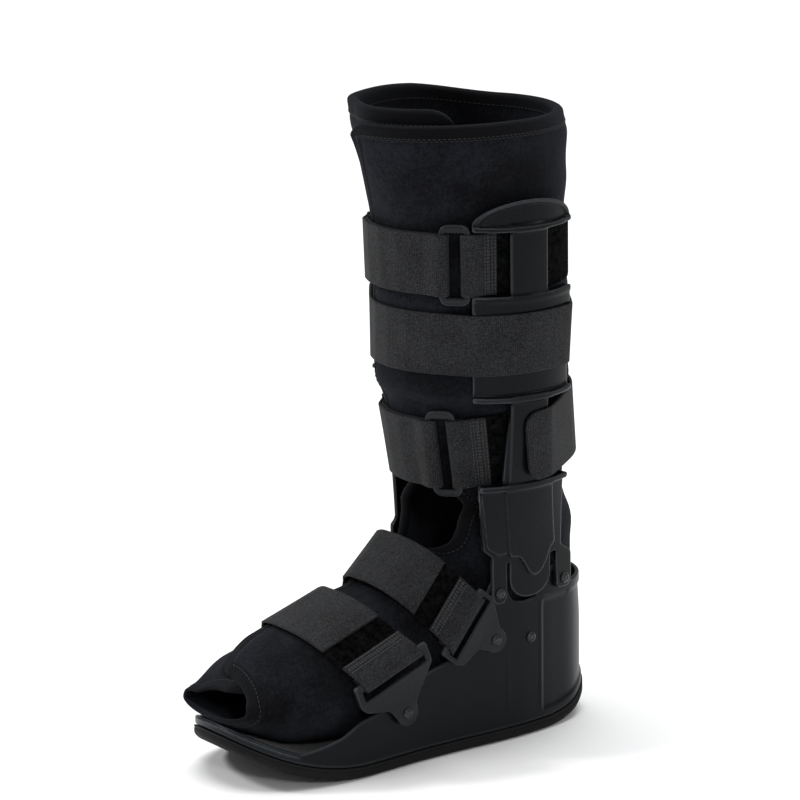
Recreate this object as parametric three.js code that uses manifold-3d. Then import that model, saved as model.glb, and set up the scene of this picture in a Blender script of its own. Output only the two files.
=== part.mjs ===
// A tall medical walking boot: a rocker-soled base shell with side struts, a padded felt liner
// with overlapping flaps, and five fastened straps. Millimetres, +Z up, toes towards -Y,
// +X is the outer side. The origin lies on the flat of the sole under the leg's centre line.
import * as THREE from "three";
import { mergeVertices } from "three/addons/utils/BufferGeometryUtils.js";
import Module from "manifold-3d";

const wasm = await Module();
wasm.setup();

// Base shell, sole and footbed
const BASE_LENGTH = 273;
const BASE_HALF_WIDTH = 54;
const HEEL_Y = 76.5;
const BASE_WALL = 3;
const BASE_FLOOR = 3;
const HEEL_TOP = 92;
const EAR_TOP = 105;
const INSTEP_WALL_TOP = 60;
const TOE_RIM = 3;
const CUP_RECESS = 1.2;
const OUTSOLE_THICKNESS = 7.5;
const TREAD_DEPTH = 2;
const TREAD_WIDTH = 4;
const TREAD_PITCH = 19;
const TREAD_COUNT = 7;
const FLAT_FRONT_Y = -115;
const FLAT_REAR_Y = 25;
const TOE_ROCKER_RADIUS = 150;
const HEEL_ROCKER_RADIUS = 95;
const FOOTBED_THICKNESS = 3.5;
const GAP = 0.3;

// Leg liner
const LINER_HEIGHT = 391;
const CALF_RADIUS = 60;
const LINER_WALL = 6;
const LINER_TOE_Y = -197;
const FLAP_RISE = 9;

// Side struts
const STRUT_TOP = 344;
const STRUT_INNER_RADIUS = 61.8;
const STRUT_CENTRE_Y = 3;
const STRUT_PLATE = 3.2;
const STRUT_HALF_WIDTH = 32.5;
const INNER_STRUT_HALF_WIDTH = 26.5;
const COLUMN_HALF_WIDTH = 12.5;
const PANEL_RELIEF = 2;
const LIP_RELIEF = 3.2;
const CAP_RELIEF = 2.6;

// Straps, rings and loops
const WEBBING = 38;
const WEBBING_THICKNESS = 1.8;
const ANKLE_WEBBING = 44;
const TOE_WEBBING = 45;
const INSTEP_WEBBING = 38;
const STRAP_GAP = 0.5;
const RING_THICKNESS = 3;
const RING_BAR = 4.2;
const RING_SLOT = 11;
const RING_END = 6;
const LOOP_THICKNESS = 3;
const LOOP_BAR = 5;

// Rivets
const RIVET_HEAD = 3.6;
const RIVET_HEAD_HEIGHT = 1.8;
const RIVET_SHANK = 1.6;
const RIVET_SIDES = 8;

const radians = THREE.MathUtils.degToRad;
const { lerp, smoothstep } = THREE.MathUtils;

// Closed solids from meshes, and back to geometry

function solidFrom(geometry) {
  const bare = geometry.index ? geometry.toNonIndexed() : geometry.clone();
  bare.deleteAttribute("normal");
  bare.deleteAttribute("uv");
  const merged = mergeVertices(bare, 1e-4);
  const triVerts = new Uint32Array(merged.index.array);
  const make = () =>
    new wasm.Manifold(
      new wasm.Mesh({ numProp: 3, vertProperties: merged.attributes.position.array, triVerts }),
    );
  const made = make();
  if (made.volume() > 0) return made;
  for (let i = 0; i < triVerts.length; i += 3) {
    [triVerts[i + 1], triVerts[i + 2]] = [triVerts[i + 2], triVerts[i + 1]];
  }
  return make();
}

function geometryFrom(solid) {
  const { numProp, numVert, vertProperties, triVerts } = solid.getMesh();
  const positions = new Float32Array(numVert * 3);
  for (let i = 0; i < numVert; i++) {
    positions.set(vertProperties.subarray(i * numProp, i * numProp + 3), i * 3);
  }
  const geometry = new THREE.BufferGeometry();
  geometry.setAttribute("position", new THREE.BufferAttribute(positions, 3));
  geometry.setIndex(new THREE.BufferAttribute(triVerts, 1));
  return geometry;
}

function verticesOf(solid) {
  const position = geometryFrom(solid).getAttribute("position");
  const read = (_, i) => new THREE.Vector3().fromBufferAttribute(position, i);
  return Array.from({ length: position.count }, read);
}

const placed = (geometry, matrix) => solidFrom(geometry.clone().applyMatrix4(matrix));

function mirrored(solid) {
  return placed(geometryFrom(solid), new THREE.Matrix4().makeScale(-1, 1, 1));
}

// Joins two grids of points, each rows by columns, into one closed wall with its edges shut.
// With wrap the columns run all the way round and only the two end rows have an edge.
function wallBetween(outer, inner, wrap = false) {
  const rows = outer.length;
  const columns = outer[0].length;
  const positions = [...outer.flat(), ...inner.flat()].flatMap((p) => [p.x, p.y, p.z]);
  const indices = [];
  const quad = (a, b, c, d) => indices.push(a, b, c, a, c, d);
  const at = (side, i, j) => side * rows * columns + i * columns + (j % columns);
  const spans = wrap ? columns : columns - 1;
  for (let i = 0; i < rows - 1; i++) {
    for (let j = 0; j < spans; j++) {
      quad(at(0, i, j), at(0, i + 1, j), at(0, i + 1, j + 1), at(0, i, j + 1));
      quad(at(1, i, j + 1), at(1, i + 1, j + 1), at(1, i + 1, j), at(1, i, j));
    }
    if (!wrap) {
      quad(at(1, i, 0), at(1, i + 1, 0), at(0, i + 1, 0), at(0, i, 0));
      const last = columns - 1;
      quad(at(0, i, last), at(0, i + 1, last), at(1, i + 1, last), at(1, i, last));
    }
  }
  for (let j = 0; j < spans; j++) {
    quad(at(0, 0, j), at(0, 0, j + 1), at(1, 0, j + 1), at(1, 0, j));
    const end = rows - 1;
    quad(at(1, end, j), at(1, end, j + 1), at(0, end, j + 1), at(0, end, j));
  }
  const geometry = new THREE.BufferGeometry();
  geometry.setAttribute("position", new THREE.Float32BufferAttribute(positions, 3));
  geometry.setIndex(indices);
  return solidFrom(geometry);
}

// A side view outline, drawn with y across and z up, run through from one x to another.
function acrossX(shape, from, to) {
  const geometry = new THREE.ExtrudeGeometry(shape, {
    depth: to - from,
    bevelEnabled: false,
    curveSegments: 6,
  });
  const axes = new THREE.Matrix4().makeBasis(
    new THREE.Vector3(0, 1, 0),
    new THREE.Vector3(0, 0, 1),
    new THREE.Vector3(1, 0, 0),
  );
  return placed(geometry, axes.setPosition(from, 0, 0));
}

const outlineOf = (points) => new THREE.Shape(points.map(([y, z]) => new THREE.Vector2(y, z)));

// Base outline seen from above: distance from the heel as a share of the base length,
// and half width as a share of the widest half width.
const BASE_OUTLINE = [
  { along: 0, out: 0 },
  { along: 0.018, out: 0.4 },
  { along: 0.079, out: 0.7 },
  { along: 0.16, out: 0.84 },
  { along: 0.244, out: 0.91 },
  { along: 0.335, out: 0.93 },
  { along: 0.445, out: 0.925 },
  { along: 0.555, out: 0.935 },
  { along: 0.665, out: 0.98 },
  { along: 0.738, out: 1 },
  { along: 0.837, out: 0.945 },
  { along: 0.929, out: 0.76 },
  { along: 0.984, out: 0.41 },
  { along: 1, out: 0 },
];
const OUTLINE_STEPS = 2;

// The outline's points from heel to toe on the outer side, as a smooth curve mirrored in x = 0.
const outerSide = BASE_OUTLINE.map(
  ({ along, out }) => new THREE.Vector3(out * BASE_HALF_WIDTH, HEEL_Y - along * BASE_LENGTH, 0),
);
const innerSide = outerSide.slice(1, -1).reverse().map((p) => new THREE.Vector3(-p.x, p.y, 0));
const baseCurve = new THREE.CatmullRomCurve3([...outerSide, ...innerSide], true, "centripetal");

function baseHalf(steps) {
  const spans = (outerSide.length - 1) * steps;
  const total = (outerSide.length + innerSide.length) * steps;
  return Array.from({ length: spans + 1 }, (_, i) => {
    const point = baseCurve.getPoint(i / total);
    const tangent = baseCurve.getTangent(i / total);
    const normal = i % spans === 0 ? [0, i ? -1 : 1] : [-tangent.y, tangent.x];
    return { x: i % spans === 0 ? 0 : point.x, y: point.y, nx: normal[0], ny: normal[1] };
  });
}

const fineHalf = baseHalf(12);

// Half width of the base's outer face at y, and how fast it changes along y.
function baseWidth(y) {
  const after = fineHalf.findIndex((p) => p.y <= y);
  if (after < 1) return 0;
  const a = fineHalf[after - 1];
  const b = fineHalf[after];
  return lerp(a.x, b.x, (a.y - y) / (a.y - b.y));
}
const baseSlope = (y) => (baseWidth(y + 1) - baseWidth(y - 1)) / 2;

// Height of the ground face of the sole: flat in the middle, rockers at the heel and toe.
function soleHeight(y) {
  const rocker = (reach, radius) => radius - Math.sqrt(radius ** 2 - Math.min(reach, radius) ** 2);
  if (y < FLAT_FRONT_Y) return rocker(FLAT_FRONT_Y - y, TOE_ROCKER_RADIUS);
  if (y > FLAT_REAR_Y) return rocker(y - FLAT_REAR_Y, HEEL_ROCKER_RADIUS);
  return 0;
}

const FLOOR_UNDER = OUTSOLE_THICKNESS + GAP;
const FLOOR_TOP = FLOOR_UNDER + BASE_FLOOR;
const BED_TOP = FLOOR_TOP + GAP + FOOTBED_THICKNESS;

// A block of the base's outline, moved out by a different amount at each level and shut
// above and below by strips that run across it.
function outlineBlock(levels) {
  const half = baseHalf(OUTLINE_STEPS);
  const last = half.length - 1;
  const across = levels.map(({ out, at }) =>
    half.map((p) => ({ x: p.x + out * p.nx, y: p.y + out * p.ny, z: at(p.y + out * p.ny) })),
  );
  const loops = across.map((row) => [
    ...row.map((p) => [p.x, p.y, p.z]),
    ...row.slice(1, last).reverse().map((p) => [-p.x, p.y, p.z]),
  ]);
  const size = loops[0].length;
  const indices = [];
  const quad = (a, b, c, d) => indices.push(a, b, c, a, c, d);
  for (let i = 0; i < levels.length - 1; i++) {
    for (let j = 0; j < size; j++) {
      const next = (j + 1) % size;
      quad(i * size + j, i * size + next, (i + 1) * size + next, (i + 1) * size + j);
    }
  }
  const shut = (start, flip) => {
    for (let j = 0; j < last; j++) {
      const far = (k) => start + ((size - k) % size);
      const corners = [start + j, start + j + 1, far(j + 1), far(j)];
      if (flip) corners.reverse();
      quad(...corners);
    }
  };
  shut(0, true);
  shut((levels.length - 1) * size, false);
  const geometry = new THREE.BufferGeometry();
  geometry.setAttribute("position", new THREE.Float32BufferAttribute(loops.flat(2), 3));
  geometry.setIndex(indices);
  return solidFrom(geometry);
}

const flatAt = (z) => () => z;
const aboveSole = (rise) => (y) => soleHeight(y) + rise;

// Wall top of the base from the side, from the heel to the toe: y as a share of the base length
// from the heel, z as a share of the ear height.
const WALL_TOP = [
  { along: 0.105, up: HEEL_TOP / EAR_TOP },
  { along: 0.118, up: 0.97 },
  { along: 0.14, up: 1 },
  { along: 0.183, up: 1 },
  { along: 0.194, up: 0.94 },
  { along: 0.205, up: 0.88 },
  { along: 0.23, up: 0.84 },
  { along: 0.262, up: 0.835 },
  { along: 0.29, up: 0.85 },
  { along: 0.308, up: 0.9 },
  { along: 0.314, up: 0.97 },
  { along: 0.325, up: 1 },
  { along: 0.352, up: 1 },
  { along: 0.368, up: 0.93 },
  { along: 0.478, up: INSTEP_WALL_TOP / EAR_TOP },
  { along: 0.555, up: 0.515 },
  { along: 0.65, up: 0.385 },
  { along: 0.727, up: 0.343 },
  { along: 0.778, up: 0.27 },
  { along: 0.83, up: 0.235 },
];

function baseSideOutline() {
  const yAt = (along) => HEEL_Y - along * BASE_LENGTH;
  const rim = [0.88, 0.93, 0.97, 1.03].map((along) => [
    yAt(along),
    soleHeight(yAt(along)) + FLOOR_TOP + TOE_RIM,
  ]);
  return outlineOf([
    [yAt(1.03), -5],
    [yAt(-0.05), -5],
    [yAt(-0.05), HEEL_TOP],
    ...WALL_TOP.map(({ along, up }) => [yAt(along), up * EAR_TOP]),
    ...rim,
  ]);
}

// Where the rivets stand on the side of the base, y and z, and what they fasten.
const RIVETS = [
  { name: "strut_front", y: -16.5, z: 97.2, through: STRUT_PLATE, square: true },
  { name: "strut_rear", y: 37.5, z: 96.3, through: STRUT_PLATE, square: true },
  { name: "loop_rear", y: -19.4, z: 67.6, through: LOOP_THICKNESS },
  { name: "heel", y: 10.7, z: 63.2, through: 0, square: true },
  { name: "loop_front", y: -89.5, z: 35.6, through: LOOP_THICKNESS },
];
const LOOP_REACH = 18;

// A loop's plate is flat and stands clear of the widest place of the wall that it covers.
const loopFace = (y) => Math.max(baseWidth(y - LOOP_REACH), baseWidth(y + LOOP_REACH)) + GAP;

// The frame of a rivet: its z axis runs square to the wall, or straight out through a loop.
function rivetFrame({ y, z, square }) {
  const normal = new THREE.Vector3(1, square ? -baseSlope(y) : 0, 0).normalize();
  const up = new THREE.Vector3(0, 0, 1);
  const along = new THREE.Vector3().crossVectors(up, normal);
  const point = new THREE.Vector3(square ? baseWidth(y) : loopFace(y) - GAP, y, z);
  return new THREE.Matrix4().makeBasis(along, up, normal).setPosition(point);
}

function roundPin(radius, from, to) {
  const pin = new THREE.CylinderGeometry(radius, radius, to - from, RIVET_SIDES);
  return pin.rotateX(Math.PI / 2).translate(0, 0, (from + to) / 2);
}

const rivetHoles = RIVETS.map((rivet) =>
  placed(roundPin(RIVET_SHANK + GAP, -BASE_WALL - 5, 12), rivetFrame(rivet)),
);

function withHoles(solid, holes = rivetHoles) {
  return holes.reduce((rest, hole) => rest.subtract(hole).subtract(mirrored(hole)), solid);
}

function rivetGeometry({ through }) {
  const seat = through ? through + 2 * GAP : GAP;
  const points = [
    [0, -BASE_WALL],
    [RIVET_SHANK, -BASE_WALL],
    [RIVET_SHANK, seat],
    [RIVET_HEAD, seat],
    [RIVET_HEAD * 0.7, seat + RIVET_HEAD_HEIGHT],
    [0, seat + RIVET_HEAD_HEIGHT],
  ].map(([r, h]) => new THREE.Vector2(r, h));
  return new THREE.LatheGeometry(points, RIVET_SIDES).rotateX(Math.PI / 2);
}

function makeBaseShell() {
  const heelLean = 3;
  const ceiling = EAR_TOP + 15;
  const outer = outlineBlock([
    { out: -2, at: aboveSole(FLOOR_UNDER) },
    { out: 0, at: aboveSole(FLOOR_UNDER + 5) },
    { out: 0, at: flatAt(ceiling) },
  ]);
  const inner = outlineBlock([
    { out: -BASE_WALL - 1, at: aboveSole(FLOOR_TOP) },
    { out: -BASE_WALL, at: aboveSole(FLOOR_TOP + 4) },
    { out: -BASE_WALL, at: flatAt(ceiling + 5) },
  ]);
  const around = outlineBlock([
    { out: 9, at: flatAt(-10) },
    { out: 9, at: flatAt(ceiling + 10) },
  ]);
  const cupCore = outlineBlock([
    { out: -CUP_RECESS, at: flatAt(-15) },
    { out: -CUP_RECESS, at: flatAt(ceiling + 15) },
  ]);
  const cupView = outlineOf([
    [HEEL_Y + 20, soleHeight(HEEL_Y) + FLOOR_UNDER + 5],
    [HEEL_Y + 20, HEEL_TOP - 7],
    [FLAT_REAR_Y + 6, HEEL_TOP - 7],
    [FLAT_REAR_Y - 2, HEEL_TOP - 12],
    [FLAT_REAR_Y - 4, 16],
    [FLAT_REAR_Y + 4, 14],
  ]);
  const recess = around.subtract(cupCore).intersect(acrossX(cupView, -90, 90));
  const leanView = outlineOf([
    [HEEL_Y - heelLean, HEEL_TOP + 30],
    [HEEL_Y + 0.2, HEEL_TOP - 30],
    [HEEL_Y + 20, HEEL_TOP - 30],
    [HEEL_Y + 20, HEEL_TOP + 30],
  ]);
  const shell = outer
    .subtract(inner)
    .intersect(acrossX(baseSideOutline(), -90, 90))
    .subtract(recess)
    .subtract(acrossX(leanView, -90, 90));
  return withHoles(shell);
}

function makeOutsole() {
  const plate = outlineBlock([
    { out: -2, at: soleHeight },
    { out: 0.8, at: aboveSole(2) },
    { out: 0.8, at: aboveSole(OUTSOLE_THICKNESS) },
  ]);
  const firstGroove = FLAT_REAR_Y - 3.5 * TREAD_WIDTH;
  return Array.from({ length: TREAD_COUNT }, (_, i) => firstGroove - i * TREAD_PITCH).reduce(
    (rest, y) => {
      const reach = baseWidth(y) - 9;
      const groove = new THREE.BoxGeometry(2 * reach, TREAD_WIDTH, 2 * TREAD_DEPTH);
      return rest.subtract(solidFrom(groove.translate(0, y, 0)));
    },
    plate,
  );
}

function makeFootbed() {
  return outlineBlock([
    { out: -BASE_WALL - 1 - GAP, at: aboveSole(FLOOR_TOP + GAP) },
    { out: -BASE_WALL - 1 - GAP, at: aboveSole(BED_TOP) },
  ]);
}

// Side strut: a moulded upright whose inner face follows the base at the ankle and a round
// calf above, worked out flat in the side view and laid on that face.
const STRUT_FLARE = { from: EAR_TOP + 2, to: 226 };
const STRAP_LEVEL = { upper: 305.5, middle: 256, lower: 191 };
const WINDOW = {
  upper: { half: WEBBING / 2 + 0.6, middle: STRAP_LEVEL.upper },
  lower: { half: ANKLE_WEBBING / 2 + 4, middle: STRAP_LEVEL.lower + 2.5 },
};
const STRUT_ROWS = [80, STRUT_FLARE.from, 135, 158, 182, 206, STRUT_FLARE.to, STRUT_TOP + 8];
const STRUT_COLUMNS = { first: -40, last: 53, count: 11 };

function strutFace(y, z) {
  const low = baseWidth(y) + GAP;
  const high = Math.sqrt(STRUT_INNER_RADIUS ** 2 - (y - STRUT_CENTRE_Y) ** 2);
  return lerp(low, high, smoothstep(z, STRUT_FLARE.from, STRUT_FLARE.to));
}

function strutPoint(y, z, offset) {
  const step = 0.5;
  const along = (strutFace(y + step, z) - strutFace(y - step, z)) / (2 * step);
  const rise = (strutFace(y, z + step) - strutFace(y, z - step)) / (2 * step);
  const normal = new THREE.Vector3(1, -along, -rise).normalize();
  return new THREE.Vector3(strutFace(y, z), y, z).addScaledVector(normal, offset);
}

function onStrut(points, from, to) {
  const { first, last, count } = STRUT_COLUMNS;
  const columns = Array.from({ length: count }, (_, j) => lerp(first, last, j / (count - 1)));
  const layer = (offset) => STRUT_ROWS.map((z) => columns.map((y) => strutPoint(y, z, offset)));
  return wallBetween(layer(to), layer(from)).intersect(acrossX(outlineOf(points), 15, 95));
}

function makeStrut(halfWidth) {
  const [front, rear] = RIVETS;
  const middle = STRUT_CENTRE_Y - 4;
  const edge = { front: middle - halfWidth, rear: middle + halfWidth };
  const column = { front: middle - COLUMN_HALF_WIDTH, rear: middle + COLUMN_HALF_WIDTH };
  const upper = {
    low: WINDOW.upper.middle - WINDOW.upper.half,
    high: WINDOW.upper.middle + WINDOW.upper.half,
  };
  const lower = {
    low: WINDOW.lower.middle - WINDOW.lower.half,
    high: WINDOW.lower.middle + WINDOW.lower.half,
  };
  const shoulder = upper.high + 4;
  const capArc = Array.from({ length: 7 }, (_, i) => {
    const turn = Math.PI * (1 - i / 6);
    const across = middle + Math.cos(turn) * halfWidth;
    return [across, shoulder + Math.sin(turn) * (STRUT_TOP - shoulder)];
  });
  const tab = 5.8;
  const tabFoot = front.z - 7;
  const slitTop = EAR_TOP + 11;
  const lobe = { front: front.y + tab + 2, rear: rear.y - tab - 7, foot: tabFoot + 0.5 };
  const lobeMiddle = (lobe.front + lobe.rear) / 2;
  const plate = [
    [front.y - tab, tabFoot + 4],
    [front.y - tab, EAR_TOP + 16],
    [edge.front + 5, EAR_TOP + 21],
    [edge.front + 4, EAR_TOP + 35],
    [edge.front + 2, lower.low],
    [column.front - 3, lower.low],
    [column.front, lower.high],
    [edge.front, lower.high],
    [edge.front, upper.low],
    [column.front, upper.low],
    [column.front, upper.high],
    [edge.front, upper.high],
    ...capArc,
    [edge.rear, upper.high],
    [column.rear, upper.high],
    [column.rear, upper.low],
    [edge.rear, upper.low],
    [edge.rear, lower.high],
    [column.rear, lower.high],
    [column.rear + 2, lower.low],
    [edge.rear + 1, lower.low],
    [edge.rear + 3, EAR_TOP + 14],
    [rear.y + tab + 1, EAR_TOP + 8],
    [rear.y + tab + 1, tabFoot + 4],
    [rear.y + tab - 2, tabFoot],
    [rear.y - tab + 1, tabFoot],
    [rear.y - tab - 1, tabFoot + 3],
    [rear.y - tab - 2, slitTop],
    [lobe.rear + 2, slitTop],
    [lobe.rear, lobe.foot + 10],
    [lobe.rear - 5, lobe.foot + 2.5],
    [lobeMiddle, lobe.foot],
    [lobe.front + 5, lobe.foot + 2.5],
    [lobe.front, lobe.foot + 10],
    [lobe.front, slitTop],
    [lobe.front - 2, slitTop],
    [front.y + tab, tabFoot + 4],
    [front.y + tab - 3, tabFoot],
    [front.y - tab + 3, tabFoot],
  ];
  const panel = [
    [column.front - 3.5, lower.low - 2],
    [column.rear + 2, lower.low - 2],
    [lobe.rear + 0.5, EAR_TOP + 17],
    [lobe.rear - 5, EAR_TOP + 14],
    [lobe.rear - 11, EAR_TOP + 3],
    [lobeMiddle - 3, EAR_TOP + 5],
    [lobe.front + 4.5, EAR_TOP + 16],
    [lobe.front - 2, EAR_TOP + 19],
  ];
  const bar = (z0, z1, y0 = edge.front, y1 = edge.rear) => [[y0, z0], [y1, z0], [y1, z1], [y0, z1]];
  const capPad = capArc.map(([y, z]) => [lerp(middle, y, 0.9), lerp(shoulder, z, 0.82)]);
  const lipArc = capArc.map(([y, z]) => [y, lerp(shoulder, z, 0.3)]);
  const raised = [
    { shape: panel, relief: PANEL_RELIEF },
    { shape: bar(lower.low - 4, lower.high + 4, column.front, column.rear), relief: PANEL_RELIEF },
    { shape: bar(upper.low - 8, shoulder, column.front, column.rear), relief: PANEL_RELIEF },
    { shape: bar(lower.low - 4, lower.low, edge.front + 2, edge.rear + 1), relief: LIP_RELIEF },
    { shape: bar(lower.high, lower.high + 5), relief: LIP_RELIEF },
    { shape: bar(upper.low - 12, upper.low), relief: LIP_RELIEF },
    { shape: [...lipArc, [edge.rear, upper.high], [edge.front, upper.high]], relief: LIP_RELIEF },
    { shape: capPad, relief: CAP_RELIEF },
  ];
  const inside = 1;
  const body = raised.reduce(
    (rest, { shape, relief }) => rest.add(onStrut(shape, inside, STRUT_PLATE + relief)),
    onStrut(plate, 0, STRUT_PLATE),
  );
  return withHoles(body);
}

// The inner strut is narrower, and beside the ankle its front flange ends at the raised panel.
function withoutFrontFlange(strut) {
  const panelEdge = STRUT_CENTRE_Y - 4 - COLUMN_HALF_WIDTH - 5;
  const flange = [
    [panelEdge - STRUT_HALF_WIDTH, EAR_TOP + 14],
    [panelEdge, EAR_TOP + 18],
    [panelEdge, WINDOW.lower.middle - WINDOW.lower.half - 5],
    [panelEdge - STRUT_HALF_WIDTH, WINDOW.lower.middle - WINDOW.lower.half - 5],
  ];
  return strut.subtract(acrossX(outlineOf(flange), -95, -15));
}

// Liner sections. Leg: height as a share of the liner height, centre and radii as shares of
// the calf radius. Below it every section stands on the pivot in front of the ankle, then
// upright across the foot. under and over are the edges of the inner and outer flap, in
// degrees from the front, positive outwards.
const LEG_SECTIONS = [
  { up: 1, shift: 0, side: 1, front: 1.36, back: 0.985, under: 58, over: -388 },
  { up: 0.955, shift: 0.01, side: 0.995, front: 1.27, back: 0.99, under: 60, over: -390 },
  { up: 0.885, shift: 0.025, side: 0.985, front: 1.13, back: 0.99, under: 58, over: -392 },
  { up: 0.831, shift: 0.035, side: 0.98, front: 1.03, back: 0.985, under: 56, over: -392 },
  { up: 0.734, shift: 0.035, side: 0.98, front: 1, back: 0.985, under: 54, over: -390 },
  { up: 0.67, shift: 0.035, side: 0.98, front: 1, back: 0.975, under: 54, over: -390 },
  { up: 0.606, shift: 0.05, side: 0.97, front: 1.02, back: 0.965, under: 54, over: -390 },
  { up: 0.575, shift: 0.065, side: 0.95, front: 1.02, back: 0.955, under: 54, over: -390 },
  { up: 0.545, shift: 0.08, side: 0.93, front: 0.95, back: 0.94, under: 54, over: -388 },
  { up: 0.486, shift: 0.11, side: 0.885, front: 0.9, back: 0.915, under: 50, over: -386 },
  { up: 0.44, shift: 0.13, side: 0.85, front: 0.87, back: 0.89, under: 40, over: -380 },
  { up: 0.417, shift: 0.14, side: 0.835, front: 0.86, back: 0.88, under: -20, over: -336 },
  { up: 0.402, shift: 0.145, side: 0.825, front: 0.86, back: 0.87, under: -46, over: -325 },
  { up: 0.386, shift: 0.15, side: 0.815, front: 0.86, back: 0.87, under: -50, over: -318 },
];
const ANKLE_PIVOT = { y: -72, z: 150 };
const ANKLE_SECTIONS = [
  { tilt: 10, front: 0.45, side: 0.8, under: -50, over: -316 },
  { tilt: 22, front: 0.46, side: 0.775, under: -50, over: -317 },
  { tilt: 34, front: 0.48, side: 0.765, under: -48, over: -322 },
  { tilt: 45, front: 0.52, side: 0.755, under: -44, over: -336 },
  { tilt: 52, front: 0.54, side: 0.75, under: -20, over: -356 },
  { tilt: 60, front: 0.56, side: 0.745, under: 24, over: -376 },
  { tilt: 74, front: 0.58, side: 0.735, under: 40, over: -384 },
];
const FOOT_SECTIONS = [
  { along: 0.405, top: 0.975, side: 0.79, under: 42, over: -384 },
  { along: 0.49, top: 0.93, side: 0.81, under: 42, over: -384 },
  { along: 0.62, top: 0.87, side: 0.835, under: 42, over: -384 },
  { along: 0.76, top: 0.79, side: 0.815, under: 40, over: -382 },
  { along: 0.86, top: 0.75, side: 0.76, under: 36, over: -380 },
  { along: 0.94, top: 0.72, side: 0.67, under: 28, over: -376 },
  { along: 1, top: 0.7, side: 0.58, under: 16, over: -372 },
];
const LINER_COLUMNS = 31;
const TOE_ROUND = 12;
const FLAP_CORNER = { drop: 12, reach: 15 };
const FLAP_STEP = LINER_WALL + 1;
const INSTEP_HEIGHT = 105;

// How far the heel part of the liner may reach along a ray from the pivot, inside the shell.
function heelReach(tilt) {
  const backLimit = HEEL_Y - BASE_WALL - 2.5;
  for (let reach = 90; reach < 260; reach += 0.5) {
    const y = ANKLE_PIVOT.y + reach * Math.cos(tilt);
    const z = ANKLE_PIVOT.z - reach * Math.sin(tilt);
    if (y > backLimit || z < soleHeight(y) + BED_TOP + GAP) return reach - 0.5;
  }
  return 260;
}

function linerSections() {
  const leg = LEG_SECTIONS.map(({ up, shift, side, front, back, ...edges }) => ({
    ...edges,
    centre: new THREE.Vector3(0, shift * CALF_RADIUS, up * LINER_HEIGHT),
    toFront: new THREE.Vector3(0, -1, 0),
    side: side * CALF_RADIUS,
    front: front * CALF_RADIUS,
    back: back * CALF_RADIUS,
    square: 2,
  }));
  const ankle = ANKLE_SECTIONS.map(({ tilt, front, side, ...edges }) => {
    const turn = radians(tilt);
    const near = front * CALF_RADIUS;
    const far = heelReach(turn);
    const middle = lerp(near, far, 0.36);
    const away = new THREE.Vector3(0, Math.cos(turn), -Math.sin(turn));
    return {
      ...edges,
      centre: new THREE.Vector3(0, ANKLE_PIVOT.y, ANKLE_PIVOT.z).addScaledVector(away, middle),
      toFront: away.clone().negate(),
      side: side * CALF_RADIUS,
      front: middle - near,
      back: far - middle,
      square: lerp(2, 2.5, tilt / 90),
    };
  });
  const foot = FOOT_SECTIONS.map(({ along, top, side, ...edges }) => {
    const y = along * LINER_TOE_Y;
    const bottom = soleHeight(y) + BED_TOP + GAP;
    const middle = lerp(bottom, top * INSTEP_HEIGHT, 0.45);
    return {
      ...edges,
      centre: new THREE.Vector3(0, y, middle),
      toFront: new THREE.Vector3(0, 0, 1),
      side: side * BASE_HALF_WIDTH,
      front: top * INSTEP_HEIGHT - middle,
      back: middle - bottom,
      square: 2.5,
    };
  });
  return [...leg, ...ankle, ...foot];
}

function sectionPoint(section, degrees, inset) {
  const at = (angle) => {
    const c = Math.cos(radians(angle));
    const s = Math.sin(radians(angle));
    const power = 2 / section.square;
    const reach = c > 0 ? section.front : section.back;
    return [
      Math.sign(c) * Math.abs(c) ** power * reach,
      Math.sign(s) * Math.abs(s) ** power * section.side,
    ];
  };
  const here = at(degrees);
  const before = at(degrees - 2);
  const after = at(degrees + 2);
  const tangent = new THREE.Vector2(after[0] - before[0], after[1] - before[1]).normalize();
  const forward = here[0] - tangent.y * inset;
  const aside = here[1] + tangent.x * inset;
  return section.centre
    .clone()
    .addScaledVector(section.toFront, forward)
    .add(new THREE.Vector3(aside, 0, 0));
}

function makeLiner() {
  const sections = linerSections();
  const toe = sections.length - 1;
  const layer = (depth) =>
    sections.map((section, i) =>
      Array.from({ length: LINER_COLUMNS }, (_, j) => {
        const degrees = lerp(section.under, section.over, j / (LINER_COLUMNS - 1));
        const tucked = FLAP_STEP * smoothstep(degrees, -82, -38);
        const point = sectionPoint(section, degrees, tucked + depth);
        if (i === 0) {
          const toEdge = Math.min(section.under - degrees, degrees - section.over);
          const corner = 1 - Math.min(toEdge / FLAP_CORNER.reach, 1);
          point.z += FLAP_RISE * smoothstep(degrees, -150, -70);
          point.z -= FLAP_CORNER.drop * (1 - Math.sqrt(1 - corner ** 2));
        }
        const nearToe = Math.max(0, i - toe + 2) / 2;
        point.y += nearToe * TOE_ROUND * (point.x / section.side) ** 2;
        return point;
      }),
    );
  return wallBetween(layer(0), layer(LINER_WALL));
}

// Straps. A strap's frame is the plane it runs in: a to the outer side, b round towards the
// heel, or up over the foot, and c across the strap's width.
// A foot strap runs askew: its width then lies along widthTilt and not square to its run.
function strapFrame(tilt, y, z, widthTilt = tilt + 90) {
  const turn = radians(tilt);
  const widthTurn = radians(widthTilt);
  const across = new THREE.Vector3(1, 0, 0);
  const round = new THREE.Vector3(0, Math.cos(turn), Math.sin(turn));
  const width = new THREE.Vector3(0, Math.cos(widthTurn), Math.sin(widthTurn));
  return new THREE.Matrix4().makeBasis(across, round, width).setPosition(0, y, z);
}

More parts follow.
